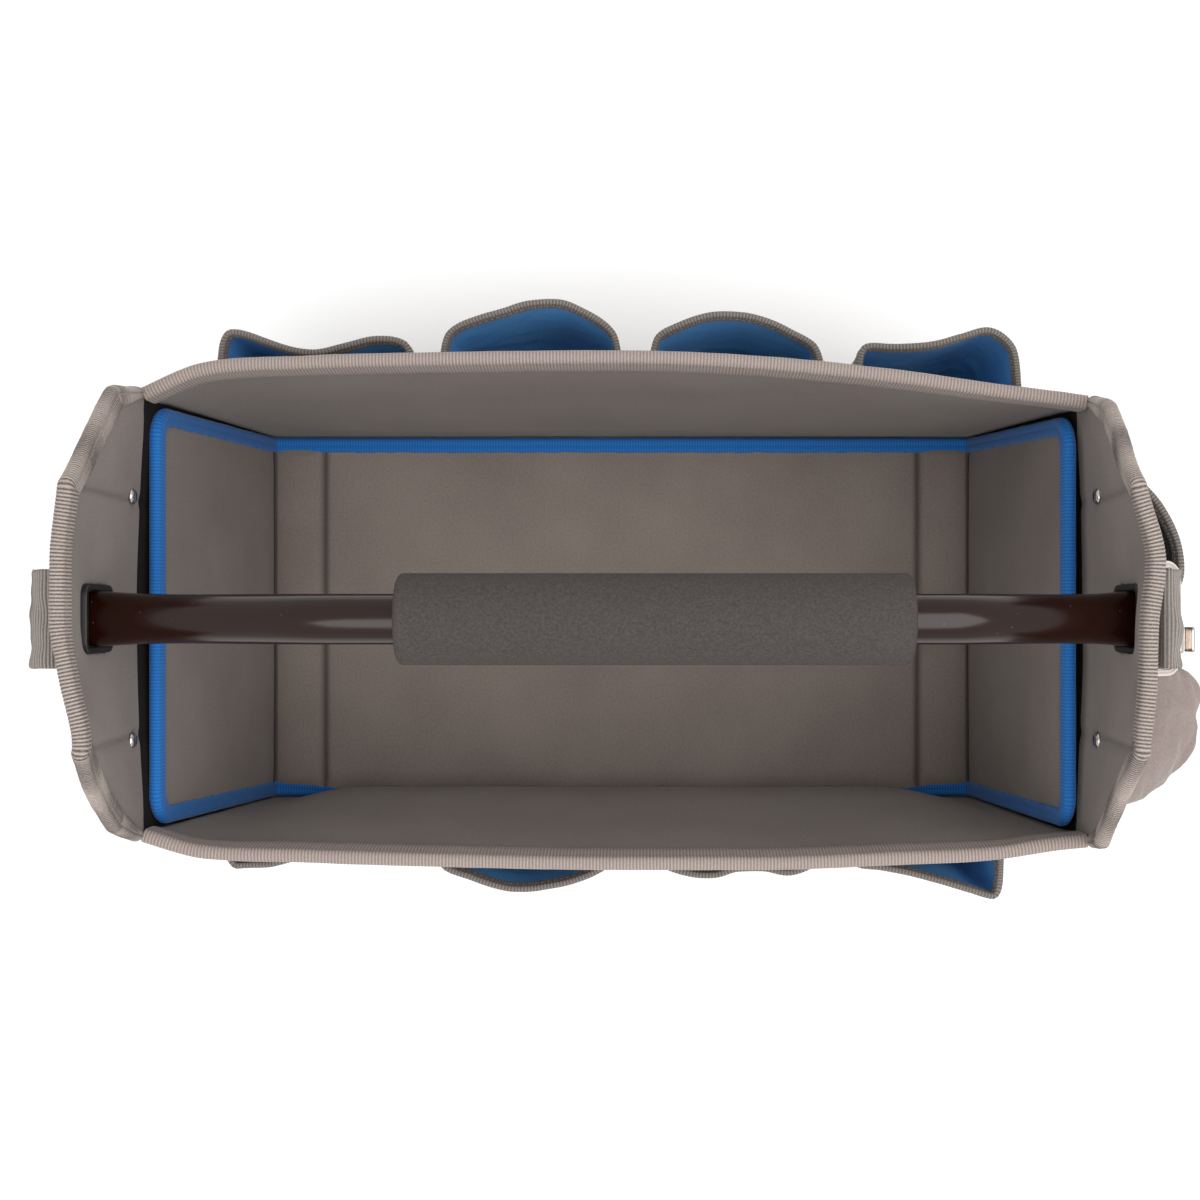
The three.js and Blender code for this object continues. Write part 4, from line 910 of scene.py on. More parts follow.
def gloss_enamel(name, colour, speck):
    """Stoved enamel: a deep brown black under a smooth wet gloss, with a few specks of dust."""
    material = bare_material(name)
    place = add_node(material, "ShaderNodeTexCoord", {}).outputs["Object"]
    orange_peel = add_node(material, "ShaderNodeTexNoise",
                           {"Vector": place, "Scale": 1 / (6 * MM), "Detail": 1.0})
    dust = add_node(material, "ShaderNodeTexVoronoi", {"Vector": place, "Scale": 1 / (7 * MM)})
    specks = add_node(material, "ShaderNodeMapRange",
                      {"Value": dust.outputs["Distance"], "From Min": 0.05, "From Max": 0.03})
    tint = add_node(material, "ShaderNodeMix",
                    {0: specks.outputs[0], 6: linear(colour), 7: linear(speck)},
                    data_type="RGBA")
    bump = add_node(material, "ShaderNodeBump",
                    {"Height": orange_peel.outputs["Fac"], "Strength": 0.06,
                     "Distance": 0.3 * MM})
    shader = add_node(material, "ShaderNodeBsdfPrincipled",
                      {"Base Color": tint.outputs[2], "Normal": bump.outputs[0],
                       "Roughness": 0.2, "IOR": 1.5, "Specular IOR Level": 0.38})
    add_node(material, "ShaderNodeOutputMaterial", {"Surface": shader.outputs[0]})
    return material


# Stoved enamel on steel, black with a red brown depth: smooth, wet looking, picks up the cloth.
black_enamel = gloss_enamel("black_gloss_enamel", ENAMEL, ENAMEL_DUST)
tube_reach = float(end_inner(SLOT_WIDTH / 2, slot_top)) + WALL - GAP


def tube_stations():
    """x, height, width and tallness of the tube at stations from the left end to the right."""
    rows = []
    for end in ("left", "right"):
        share = np.concatenate([np.linspace(-0.1, 0.14, 9), np.linspace(0.18, 1, 26)])
        start = TUBE_SHIFT + ENDS[end] * TUBE_RAISED / 2
        x = start + (ENDS[end] * tube_reach - start) * share
        z = TUBE_END + (TUBE_TOP - TUBE_END) * through(TUBE_FALL["along"], TUBE_FALL["rise"], share)
        flare = through(TUBE_FALL["along"], TUBE_FALL["flare"], share)
        half = np.stack([x, z, TUBE + (FLARE_WIDTH - TUBE) * flare,
                         TUBE + (FLARE_HEIGHT - TUBE) * flare], axis=-1)
        rows.append(half[::-1] if end == "left" else half)
    return np.concatenate(rows)


stations = tube_stations()
bpy.ops.object.select_all(action="DESELECT")
bpy.ops.mesh.primitive_circle_add(vertices=TUBE_SIDES, radius=TUBE / 2 * MM, fill_type="NOTHING",
                                  rotation=(0, math.pi / 2, 0),
                                  location=(stations[0][0] * MM, 0, stations[0][1] * MM))
tube = bpy.context.object
tube.name = "enamelled_handle_tube"
apply_all(tube)
edit(tube)
bpy.ops.mesh.select_all(action="SELECT")
x, z, wide, tall = stations[0]
bpy.ops.transform.resize(value=(1, wide / TUBE, tall / TUBE),
                         center_override=(x * MM, 0, z * MM))
for before, after in zip(stations[:-1], stations[1:]):
    step = ((after[0] - before[0]) * MM, 0, (after[1] - before[1]) * MM)
    bpy.ops.mesh.extrude_edges_move(TRANSFORM_OT_translate={"value": step})
    bpy.ops.transform.resize(value=(1, after[2] / before[2], after[3] / before[3]),
                             center_override=(after[0] * MM, 0, after[1] * MM))
bpy.ops.mesh.select_all(action="SELECT")
bpy.ops.mesh.normals_make_consistent(inside=False)
wall = tube.modifiers.new("tube_wall", "SOLIDIFY")
wall.thickness = TUBE_WALL * MM
wall.offset = -1
lip = tube.modifiers.new("lip", "BEVEL")
lip.width = 0.5 * MM
lip.segments = 2
apply_all(tube)
tube.data.materials.append(black_enamel)
tube.data.shade_smooth()
fit(tube, "enamel", "handle_tube")


# Grip. A sleeve of soft black foam, cut square and pushed onto the raised middle of the tube,
# a little off centre. It grips the enamel by itself.
GRIP = 45
GRIP_LENGTH = 252.5
GRIP_SHIFT = 21.6
GRIP_ROUND = 3
FOAM_LIT = "#4a4543"
FOAM_DARK = "#3b3735"


def foam_rubber(name, lit, dark):
    """Closed cell foam: dull, finely pitted, with a skin of tiny pale specks."""
    material = bare_material(name)
    place = add_node(material, "ShaderNodeTexCoord", {}).outputs["Object"]
    cells = add_node(material, "ShaderNodeTexNoise",
                     {"Vector": place, "Scale": 1 / (1.3 * MM), "Detail": 3.0,
                      "Roughness": 0.7})
    pits = add_node(material, "ShaderNodeTexVoronoi", {"Vector": place, "Scale": 1 / (1.2 * MM)})
    shade = add_node(material, "ShaderNodeMapRange",
                     {"Value": cells.outputs["Fac"], "From Min": 0.35, "From Max": 0.65})
    colour = add_node(material, "ShaderNodeMix",
                      {0: shade.outputs[0], 6: linear(dark), 7: linear(lit)}, data_type="RGBA")
    relief = add_node(material, "ShaderNodeMath",
                      {0: cells.outputs["Fac"], 1: pits.outputs["Distance"]}, operation="ADD")
    bump = add_node(material, "ShaderNodeBump",
                    {"Height": relief.outputs[0], "Strength": 0.5, "Distance": 0.3 * MM})
    shader = add_node(material, "ShaderNodeBsdfPrincipled",
                      {"Base Color": colour.outputs[2], "Normal": bump.outputs[0],
                       "Roughness": 0.95, "IOR": 1.5, "Specular IOR Level": 0.2})
    add_node(material, "ShaderNodeOutputMaterial", {"Surface": shader.outputs[0]})
    return material


# Nitrile foam, black and faded: matte, with pits drawn at 1.2 mm.
grip_foam = foam_rubber("black_foam_rubber", FOAM_LIT, FOAM_DARK)
bpy.ops.object.select_all(action="DESELECT")
bpy.ops.mesh.primitive_cylinder_add(vertices=96, radius=GRIP / 2 * MM, depth=GRIP_LENGTH * MM,
                                    location=(0, 0, 0))
grip = bpy.context.object
grip.name = "foam_grip_sleeve"
edit(grip)
end_z_place = GRIP_LENGTH / 2 * MM * 0.99
pick(grip, "polygons", lambda ends: len(ends) > 4)
bpy.ops.mesh.inset(thickness=(GRIP / 2 - TUBE / 2 - GAP) * MM)
bpy.ops.mesh.delete(type="ONLY_FACE")
pick(grip, "edges", lambda ends: abs(ends[0].z) > end_z_place and abs(ends[1].z) > end_z_place
     and max(e.xy.length for e in ends) < (TUBE / 2 + GAP + 0.5) * MM)
bpy.ops.mesh.bridge_edge_loops(number_cuts=0)
pick(grip, "edges", lambda ends: abs(ends[0].z) > end_z_place and abs(ends[1].z) > end_z_place
     and min(e.xy.length for e in ends) > (GRIP / 2 - 0.5) * MM)
bpy.ops.mesh.bevel(offset=GRIP_ROUND * MM, segments=6)
grip.rotation_euler = (0, math.pi / 2, 0)
grip.location = (GRIP_SHIFT * MM, 0, TUBE_TOP * MM)
apply_all(grip)
grip.data.materials.append(grip_foam)
bpy.ops.object.shade_smooth_by_angle(angle=math.radians(50))
fit(grip, "foam", "handle_grip")


# Slot frames. Black moulded nylon frames, pressed into the slots of the end walls. The ends of
# the tube sit in them.
SLOT_RING = 3
SLOT_PROUD = 3
FRAME_EDGE = 0.7
NYLON = "#131110"


def moulded_plastic(name, colour):
    """Moulded nylon: nearly black, a satin skin with a fine spark eroded grain."""
    material = bare_material(name)
    place = add_node(material, "ShaderNodeTexCoord", {}).outputs["Object"]
    grain = add_node(material, "ShaderNodeTexNoise",
                     {"Vector": place, "Scale": 1 / (0.9 * MM), "Detail": 2.0})
    bump = add_node(material, "ShaderNodeBump",
                    {"Height": grain.outputs["Fac"], "Strength": 0.25, "Distance": 0.1 * MM})
    shader = add_node(material, "ShaderNodeBsdfPrincipled",
                      {"Base Color": linear(colour), "Normal": bump.outputs[0],
                       "Roughness": 0.45, "IOR": 1.5})
    add_node(material, "ShaderNodeOutputMaterial", {"Surface": shader.outputs[0]})
    return material


# Nylon, black: dark even where it is lit, with a dull highlight along its rounded edges.
black_nylon = moulded_plastic("black_nylon", NYLON)
for end, sign in ENDS.items():
    bpy.ops.object.select_all(action="DESELECT")
    bpy.ops.mesh.primitive_cube_add(size=1, location=(
        sign * (tube_reach + GAP - (WALL + SLOT_PROUD) / 2) * MM, 0, slot_middle * MM))
    ring = bpy.context.object
    ring.name = f"moulded_{end}_slot_frame"
    ring.scale = ((WALL + SLOT_PROUD) * MM, SLOT_WIDTH * MM, SLOT_HEIGHT * MM)
    apply_all(ring)
    edit(ring)
    pick(ring, "edges", lambda ends: abs(ends[0].x - ends[1].x) > SLOT_PROUD * MM)
    bpy.ops.mesh.bevel(offset=SLOT_CORNER * MM, segments=6)
    pick(ring, "polygons", lambda ends: len(ends) > 4)
    bpy.ops.mesh.inset(thickness=SLOT_RING * MM)
    bpy.ops.mesh.delete(type="FACE")
    bpy.ops.mesh.select_mode(type="EDGE")
    bpy.ops.mesh.select_non_manifold()
    bpy.ops.mesh.bridge_edge_loops()
    bpy.ops.mesh.select_all(action="SELECT")
    bpy.ops.mesh.normals_make_consistent(inside=False)
    soften = ring.modifiers.new("edges", "BEVEL")
    soften.width = FRAME_EDGE * MM
    soften.segments = 3
    soften.angle_limit = math.radians(40)
    apply_all(ring)
    ring.data.materials.append(black_nylon)
    bpy.ops.object.shade_smooth_by_angle(angle=math.radians(40))
    fit(ring, "plastic", f"{end}_slot_frame")


# Rivets. Nickel plated tubular rivets, set through the end walls just above the rim, with their
# hollow heads on the inner faces.
RIVET = 9
RIVET_HEIGHT = 252
RIVET_OFF = 68
RIVET_HEAD = 2
RIVET_ROUND = 1.5
RIVET_BORE = 0.8
NICKEL = "#cfc6be"


def plated_steel(name, colour, roughness):
    """Nickel plate: bright warm metal, brushed very slightly by handling."""
    material = bare_material(name)
    place = add_node(material, "ShaderNodeTexCoord", {}).outputs["Object"]
    wear = add_node(material, "ShaderNodeTexNoise",
                    {"Vector": place, "Scale": 1 / (4 * MM), "Detail": 3.0})
    dull = add_node(material, "ShaderNodeMapRange",
                    {"Value": wear.outputs["Fac"], "To Min": roughness * 0.7,
                     "To Max": roughness * 1.3})
    shader = add_node(material, "ShaderNodeBsdfPrincipled",
                      {"Base Color": linear(colour), "Metallic": 1.0,
                       "Roughness": dull.outputs[0]})
    add_node(material, "ShaderNodeOutputMaterial", {"Surface": shader.outputs[0]})
    return material


# Nickel plated steel: pale, warm and shiny against the cloth.
nickel = plated_steel("nickel_plated_steel", NICKEL, 0.25)
for end, sign in ENDS.items():
    for side, way in SIDES.items():
        bpy.ops.object.select_all(action="DESELECT")
        seat = sign * (float(end_inner(RIVET_OFF, RIVET_HEIGHT)) - 0.4)
        bpy.ops.mesh.primitive_cylinder_add(
            vertices=40, radius=RIVET / 2 * MM, depth=RIVET_HEAD * MM,
            rotation=(0, math.pi / 2, 0),
            location=((seat - sign * RIVET_HEAD / 2) * MM, way * RIVET_OFF * MM,
                      RIVET_HEIGHT * MM))
        rivet = bpy.context.object
        rivet.name = f"plated_{side}_{end}_rivet"
        apply_all(rivet)
        edit(rivet)
        pick(rivet, "polygons", lambda ends: len(ends) > 4
             and sign * ends[0].x < (sign * seat - RIVET_HEAD / 2) * MM)
        bpy.ops.mesh.bevel(offset=RIVET_ROUND * MM, segments=5)
        bpy.ops.mesh.inset(thickness=1.2 * MM, depth=-RIVET_BORE * MM)
        apply_all(rivet)
        rivet.data.materials.append(nickel)
        bpy.ops.object.shade_smooth_by_angle(angle=math.radians(45))
        fit(rivet, "nickel", f"{side}_{end}_rivet")


# Pockets. Grey cloth lined with blue, sewn to the outside of the long walls at both sides and
# along the foot. The cloth is cut wider than its place, so the lips stand open in loose waves.
POCKET_PITCH = 126.5
POCKET_SHIFT = 8.5
POCKET_MOUTH = 200
POCKET_FOOT = 34
POCKET_DEPTH = 37
POCKET_CLOTH = 2
POCKET_GAP = 0.8
POCKET_SLACK = 4
LIP_LEG = 9
LIP_TAPE = 1
POCKET_PROFILE = {"rise": [0, 0.14, 0.4, 0.75, 1], "depth": [0, 0.5, 0.82, 0.98, 1]}
# Seam, fold, seven shares of the lip, fold and seam, as shares of a pocket's half width.
LIP_PLACES = [-1, -0.98, -0.82, -0.56, -0.28, 0, 0.28, 0.56, 0.82, 0.98, 1]
# Lips seen from above, at the seven places from left to right, as shares of POCKET_DEPTH.
LIPS = {
    "back": [
        [0.58, 0.44, 0.28, 0.21, 0.3, 0.4, 0.33],
        [0.5, 0.7, 0.84, 0.94, 0.95, 0.78, 0.48],
        [0.42, 0.62, 0.76, 0.8, 0.74, 0.6, 0.42],
        [0.44, 0.48, 0.55, 0.66, 0.8, 0.92, 0.72],
    ],
    "front": [
        [0.22, 0.22, 0.14, 0.05, 0.03, 0.03, 0.02],
        [0.25, 0.38, 0.5, 0.55, 0.5, 0.38, 0.2],
        [0.15, 0.26, 0.3, 0.22, 0.22, 0.28, 0.18],
        [0.18, 0.25, 0.32, 0.4, 0.5, 0.63, 0.75],
    ],
}
# How each pocket is moved along the wall from its even place, and how wide it is.
POCKET_PLAN = {
    "back": {"shift": [4, 4, -1, -8], "width": [124, 114, 110, 103]},
    "front": {"shift": [3, 0, 0, -16], "width": [112, 112, 104, 98]},
}
LINING_LIT = "#62b2fa"
LINING_DARK = "#4a9ae2"
# Painted highlight and shade for the crests and grooves of the lip tape.
LIP_LIT_CREST = "#827a74"
LIP_SHADED_GROOVE = "#544e4a"
LIP_THREAD = "#7b736d"

# Polyester grosgrain round the pocket lips: darker than on the rims, with flat ribs, painted
# highlight on their crests and painted shade in their grooves.
dark_grosgrain = ribbed_tape("dark_grosgrain_tape", LIP_LIT_CREST, LIP_SHADED_GROOVE, RIB_PITCH)
# Polyester thread, dark grey: it nearly sinks into that tape.
dark_thread = sewing_thread("dark_grey_thread", LIP_THREAD)
# Blue polyester lining: a thin coated cloth, a little smoother than the outside.
blue_lining = woven_cloth("blue_lining_cloth", LINING_LIT, LINING_DARK, 0.8, 0.75, 0.05)


def pocket_edge(spec):
    """Run along a pocket's lip at its eleven places, in mm."""
    out = np.array([0, 0, *spec["lip"], 0, 0]) * spec["depth"]
    along = np.array(LIP_PLACES) * spec["width"] / 2
    return np.concatenate([[0], np.cumsum(np.hypot(np.diff(along), np.diff(out)))])


def pocket_point(spec, run, z, distance):
    """Points of a pocket: run along its lip in mm, height z, distance out of its inner face."""
    run, z = np.broadcast_arrays(np.asarray(run, float), np.asarray(z, float))
    places = pocket_edge(spec)
    rise = (np.minimum(z, spec["mouth"]) - spec["foot"]) / (spec["mouth"] - spec["foot"])
    deep = through(POCKET_PROFILE["rise"], POCKET_PROFILE["depth"], rise)
    sewn = [0, 0, *[1] * 7, 0, 0]
    loose = through(places, sewn, run)

    def line(at_run):
        share = through(places, [0, 0, *spec["lip"], 0, 0], at_run)
        loose = through(places, sewn, at_run)
        out = POCKET_GAP + deep * (POCKET_SLACK * loose + spec["depth"] * share)
        return spec["middle"] + through(places, LIP_PLACES, at_run) * spec["width"] / 2, out

    along, out = line(run)
    ahead, behind = line(run + 0.5), line(run - 0.5)
    step_along, step_out = ahead[0] - behind[0], ahead[1] - behind[1]
    length = np.hypot(step_along, step_out) + 1e-9
    return spec["place"](along - step_out / length * distance * loose,
                         z, out + step_along / length * distance)


def add_pocket(name, node, spec, cloth, lining, seed):
    """Cloth of a pocket with its lining, and the folded tape round its lip."""
    places = pocket_edge(spec)
    run, z = np.meshgrid(np.linspace(0, places[-1], 96),
                         np.linspace(spec["foot"], spec["mouth"], 76))
    loose = through(places, [0, 0, *[1] * 7, 0, 0], run)
    rise = (z - spec["foot"]) / (spec["mouth"] - spec["foot"])
    middle = pocket_point(spec, run, z, POCKET_CLOTH / 2)
    free = loose * np.minimum(1, rise * 5)
    billow = free * spec["billow"] * waver(middle * [1, 1, 0.7], 34, seed)
    crumple = free * (1 - 0.75 * rise) * 0.9 * waver(middle * [1, 1, 1.6], 13, seed + 3)
    move = np.maximum(billow + crumple, -POCKET_SLACK * 0.5)
    piece = loft(name, there_and_back(pocket_point(spec, run, z, POCKET_CLOTH + move),
                                      pocket_point(spec, run, z, move)), lined=True)
    piece.data.materials.append(cloth)
    piece.data.materials.append(lining)
    lip_run = np.linspace(places[1] + 2.5, places[-2] - 2.5, 400)
    lift = np.interp(lip_run, run[-1], move[-1]) + POCKET_CLOTH / 2
    path = even_path(pocket_point(spec, lip_run, spec["mouth"], lift), RIB_PITCH / 3)
    at = np.linspace(lip_run[0], lip_run[-1], len(path))
    lower = pocket_point(spec, at, spec["mouth"] - LIP_LEG,
                         np.interp(at, run[-1], move[-1]) + POCKET_CLOTH / 2)
    outward = unit(path - lower)
    tangent = unit(np.gradient(path, axis=0))
    lip, seams = binding(f"{name}_lip_tape", path, outward, unit(np.cross(tangent, outward)),
                         POCKET_CLOTH / 2, LIP_LEG, thickness=LIP_TAPE * 0.7, seed=seed,
                         ease=0.3, depth=0.16, dent=0.3)
    lip.data.materials.append(dark_grosgrain)
    fit(piece, "cloth", node)
    fit(lip, "binding", f"{node}_lip")
    stitches = stitched(f"{name}_stitches", seams, dark_thread)
    return piece, [lip, stitches]


def cut_size(spec):
    """Width and height of the cloth of a pocket before it was sewn, in metres."""
    rows = np.linspace(spec["foot"], spec["mouth"], 40)
    columns = np.linspace(0, pocket_edge(spec)[-1], 60)
    grid = pocket_point(spec, columns[None, :], rows[:, None], POCKET_CLOTH / 2)
    width = np.linalg.norm(np.diff(grid, axis=1), axis=2).sum(axis=1)
    height = np.linalg.norm(np.diff(grid, axis=0), axis=2).sum(axis=0)
    return float(width.mean()) * MM, float(height.mean()) * MM


for side in SIDES:
    for index, lip_shares in enumerate(LIPS[side]):
        spec = {
            "middle": POCKET_SHIFT + (index - 1.5) * POCKET_PITCH
            + POCKET_PLAN[side]["shift"][index],
            "width": POCKET_PLAN[side]["width"][index],
            "depth": POCKET_DEPTH, "mouth": POCKET_MOUTH, "foot": POCKET_FOOT,
            "lip": lip_shares, "billow": 1.6,
            "place": lambda x, z, out: long_point(
                side, x / long_reach(np.float64(POCKET_MOUTH)), z, out),
        }
        pocket, lip = add_pocket(f"sewn_{side}_pocket_{index + 1}", f"{side}_pocket_{index + 1}",
                                 spec, oxford_cloth, blue_lining, 31.0 + index + SIDES[side] * 9)
        cut_size(spec)


# End pocket and pouch. An open grey pocket and, beside it, a puffy pouch of pale cloth with a
# flap over its mouth, both sewn to the outside of the right end.
SIDE_POCKET = {
    "middle": 44, "width": 88, "depth": 42, "mouth": 230, "foot": 60, "billow": 1.4,
    "lip": [0.62, 0.95, 1, 0.97, 0.86, 0.66, 0.36],
    "place": lambda y, z, out: end_point("right", y, z, WALL + out),
}
POUCH = {
    "middle": -65, "width": 90, "depth": 50, "mouth": 214, "foot": 60, "billow": 3.0,
    "lip": [0.4, 0.66, 0.88, 0.96, 1, 0.94, 0.6],
    "place": lambda y, z, out: end_point("right", y, z, WALL + out),
}
PALE_LIT = "#8f817b"
PALE_DARK = "#7c6f6a"
DARK_LINING_LIT = "#4a474a"
DARK_LINING_DARK = "#3c3a3c"

# Pale nylon: thin, smooth and slightly pink, with a soft sheen.
pale_nylon = woven_cloth("pale_nylon_cloth", PALE_LIT, PALE_DARK, 0.8, 0.7, 0.2)
# Dark grey lining cloth, as seen in the mouth of the end pocket.
dark_lining = woven_cloth("dark_lining_cloth", DARK_LINING_LIT, DARK_LINING_DARK,
                          0.8, 0.8, 0.05)
pocket, lip = add_pocket("sewn_right_end_pocket", "right_end_pocket", SIDE_POCKET,
                         oxford_cloth, dark_lining, 51.0)
cut_size(SIDE_POCKET)
pouch, pouch_lip = add_pocket("puffed_right_end_pouch", "right_end_pouch", POUCH, pale_nylon,
                              pale_nylon, 57.0)
cut_size(POUCH)


# Flap. A puffy double layer of the same pale cloth, sewn to the wall above the pouch along its
# root and hanging over the lip. A short cloth simulation fills it out.
FLAP_THICK = 3.0
FLAP_REACH = 4.1
FLAP_PUFF = 2.4
FLAP_LUMPS = 2.2
FLAP_HELD = 3
FLAP_MOVE = 2.0
PRESSURE = 4
FRAMES = 20
FLAP = {
    "row": [0, 1, 2, 3, 4, 5],
    "reach": [0, 0, 0.5, 0.93, 1, 1],
    "height": [250, 243, 238, 223, 214, 168],
    "outward": [1, 1, 0.3, 0.5, 1, 1],
    "upward": [0, 0.5, 1, 1, 0, 0],
}
pouch_places = pocket_edge(POUCH)
flap_run, flap_row = np.meshgrid(np.linspace(pouch_places[2], pouch_places[-3], 90),
                                 np.linspace(0, 5, 110))


def flap_point(distance):
    """The flap's points that far out from its inner face."""
    columns = {key: through(FLAP["row"], FLAP[key], flap_row) for key in FLAP}
    lip = pocket_point(POUCH, flap_run, POUCH["mouth"], FLAP_REACH)
    lip_out = lip[..., 0] - (end_inner(lip[..., 1], POUCH["mouth"]) + WALL)
    length = np.hypot(columns["outward"], columns["upward"])
    out = POCKET_GAP + (lip_out - POCKET_GAP) * columns["reach"]
    out = out + columns["outward"] / length * distance
    z = columns["height"] + columns["upward"] / length * distance
    return end_point("right", lip[..., 1], z, WALL + out)


def settle(piece, held, reach):
    """Lets a padded piece fill out in a short cloth simulation. The vertices in held are sewn
    down, and none moves further than reach."""
    count = len(piece.data.vertices)
    start, settled = np.empty(count * 3), np.empty(count * 3)
    piece.data.vertices.foreach_get("co", start)
    piece.vertex_groups.new(name="seams").add(np.flatnonzero(held).tolist(), 1, "REPLACE")
    cloth = piece.modifiers.new("cloth", "CLOTH")
    cloth.settings.quality = 5
    cloth.settings.vertex_group_mass = "seams"
    cloth.settings.use_pressure = True
    cloth.settings.uniform_pressure_force = PRESSURE
    cloth.settings.shrink_min = -0.02
    cloth.settings.effector_weights.gravity = 0
    cloth.point_cache.frame_end = FRAMES
    for step in range(1, FRAMES + 1):
        bpy.context.scene.frame_set(step)
    shaped = piece.evaluated_get(bpy.context.evaluated_depsgraph_get())
    shaped.data.vertices.foreach_get("co", settled)
    bpy.context.scene.frame_set(1)
    piece.modifiers.remove(cloth)
    moved = (settled - start).reshape(-1, 3)
    length = np.linalg.norm(moved, axis=1, keepdims=True) + 1e-12
    moved = moved * np.minimum(1, reach * MM / length)
    piece.data.vertices.foreach_set("co", (start.reshape(-1, 3) + moved).ravel())


from_seam = np.minimum.reduce([flap_row * 12, (5 - flap_row) * 12, flap_run - flap_run.min(),
                               flap_run.max() - flap_run])
lumps = waver(flap_point(0), 22, 71.0) + 0.5 * waver(flap_point(0), 9, 73.0)
puff = np.clip(from_seam / 12, 0, 1) ** 0.5 * (FLAP_PUFF + FLAP_LUMPS * lumps)
flap = loft("puffed_right_end_flap", there_and_back(flap_point(FLAP_THICK + puff),
                                                    flap_point(0 * puff)))
settle(flap, np.concatenate([from_seam, from_seam[:, ::-1]], axis=1).ravel() < FLAP_HELD,
       FLAP_MOVE)
flap.data.materials.append(pale_nylon)
fit(flap, "pale_cloth", "right_end_flap")


# Web loops. Wide ribbed webbing, sewn flat to each end wall outside the slot, its front
# standing out in a bight with wavy edges.
WEB_WIDTH = 50
WEB = 2
WEB_TOP = 344
WEB_HEIGHT = 92
WEB_DEPTH = {"left": 19.5, "right": 13}
WEB_PITCH = 1.8
WEB_LOOP = {"out": [0, 0.4, 0.86, 0.98, 1, 0.8, 0.4, 0],
            "rise": [0, 0.08, 0.42, 0.7, 0.88, 0.96, 1, 1]}
# Painted highlight on the webbing's ribs and painted shade in its grooves.
WEB_LIT_CREST = "#8f8781"
WEB_SHADED_GROOVE = "#58524e"
web_foot = WEB_TOP - WEB_HEIGHT
web_face = float(end_inner(0, web_foot)) + WALL + GAP
# Heavy polyester webbing: coarse ribs across it, duller than the binding tape, with painted
# highlight on the ribs and painted shade between them.
grey_webbing = ribbed_tape("grey_webbing", WEB_LIT_CREST, WEB_SHADED_GROOVE, WEB_PITCH)


def rounded_line(corners, radius, step, looped=True):
    """Points along a polygon with its corners worn round, that far apart."""
    path = even_path(corners, step, looped)
    window = max(1, int(radius / step))
    kernel = np.hanning(2 * window + 3)[1:-1]
    kernel = kernel / kernel.sum()
    if looped:
        padded = np.concatenate([path[-window:], path, path[:window]])
    else:
        padded = np.concatenate([np.repeat(path[:1], window, axis=0), path,
                                 np.repeat(path[-1:], window, axis=0)])
    smooth = np.stack([np.convolve(padded[:, i], kernel, "valid") for i in range(3)], axis=-1)
    return even_path(smooth, step, looped)


for end, sign in ENDS.items():
    corners = [(web_face + WEB / 2 + out * (WEB_DEPTH[end] - WEB), 0,
                web_foot + WEB / 2 + rise * (WEB_HEIGHT - WEB))
               for out, rise in zip(WEB_LOOP["out"], WEB_LOOP["rise"])]
    path = rounded_line(corners, 4, WEB_PITCH / 5)
    tangent = unit(np.roll(path, -1, axis=0) - np.roll(path, 1, axis=0))
    outward = np.stack([-tangent[:, 2], 0 * tangent[:, 0], tangent[:, 0]], axis=-1)
    outward = outward * np.sign(((path - path.mean(axis=0)) * outward).sum())
    y = np.linspace(-WEB_WIDTH / 2, WEB_WIDTH / 2, 33)
    standing = np.clip((path[:, 0] - web_face - WEB) / 6, 0, 1)[:, None]
    ruffle = standing * waver(np.stack(np.broadcast_arrays(
        path[:, :1], y[None, :], path[:, 2:]), axis=-1) * [1, 1, 0.5], 11, 81.0 + sign) * 2.2
    edge = np.clip((WEB_WIDTH / 2 - np.abs(y)) / 1.0, 0, 1)[None, :] ** 0.5
    rib = ribs_along(path, WEB_PITCH, looped=True)[:, None]
    thick = WEB / 2 * (0.35 + 0.65 * edge) + RIB_DEPTH * (rib - 1) * edge

    def strap_face(way):
        points = path[:, None] + outward[:, None] * (ruffle + way * thick)[..., None]
        points[..., 1] = y + 0.4 * waver(path, 6, 90.0)[:, None] * standing
        points[..., 0] = np.maximum(points[..., 0], web_face)
        return points * [sign, 1, 1]

    strap = loft(f"ribbed_{end}_web_loop", there_and_back(strap_face(1), strap_face(-1)),
                 looped=True)
    strap.data.materials.append(grey_webbing)
    fit(strap, "binding", f"{end}_web_loop")


# Ring and hook. A ring of bent steel wire behind the right loop, and a hook of flat steel strip
# that hangs on it. Both are nickel plated.
RING_WIRE = 4
RING_SEAT = 41
RING_DROP = 20
RING_TIP = 26
HOOK_SWING = 14
CLIP_WIDTH = 14
CLIP_LENGTH = 40
CLIP_STEEL = 1.6
CLIP_REACH = 8
CLIP_OFF = -12
RING_LOOP = {"across": [-0.85, 0.85, 1, 1, 0.85, -0.85, -1, -1],
             "fall": [0, 0, 0.2, 0.8, 1, 1, 0.8, 0.2]}
ring_x = web_face + WEB + GAP + RING_WIRE / 2
ring_z = web_foot + RING_SEAT
ring_half = WEB_WIDTH / 2 + GAP + RING_WIRE
corners = [(ring_x + RING_TIP * fall, ring_half * across, ring_z - RING_DROP * fall)
           for across, fall in zip(RING_LOOP["across"], RING_LOOP["fall"])]
path = rounded_line(corners, 4, 1.0)
tangent = unit(np.roll(path, -1, axis=0) - np.roll(path, 1, axis=0))
square = unit(np.array([RING_DROP, 0, RING_TIP], float))
side_way = unit(np.cross(square, tangent))
turn = np.linspace(0, 2 * math.pi, 17)[:-1][None, :, None]
ring = loft("plated_right_ring", path[:, None] + RING_WIRE / 2 * (
    side_way[:, None] * np.cos(turn) + square * np.sin(turn)), looped=True)
ring.data.materials.append(nickel)
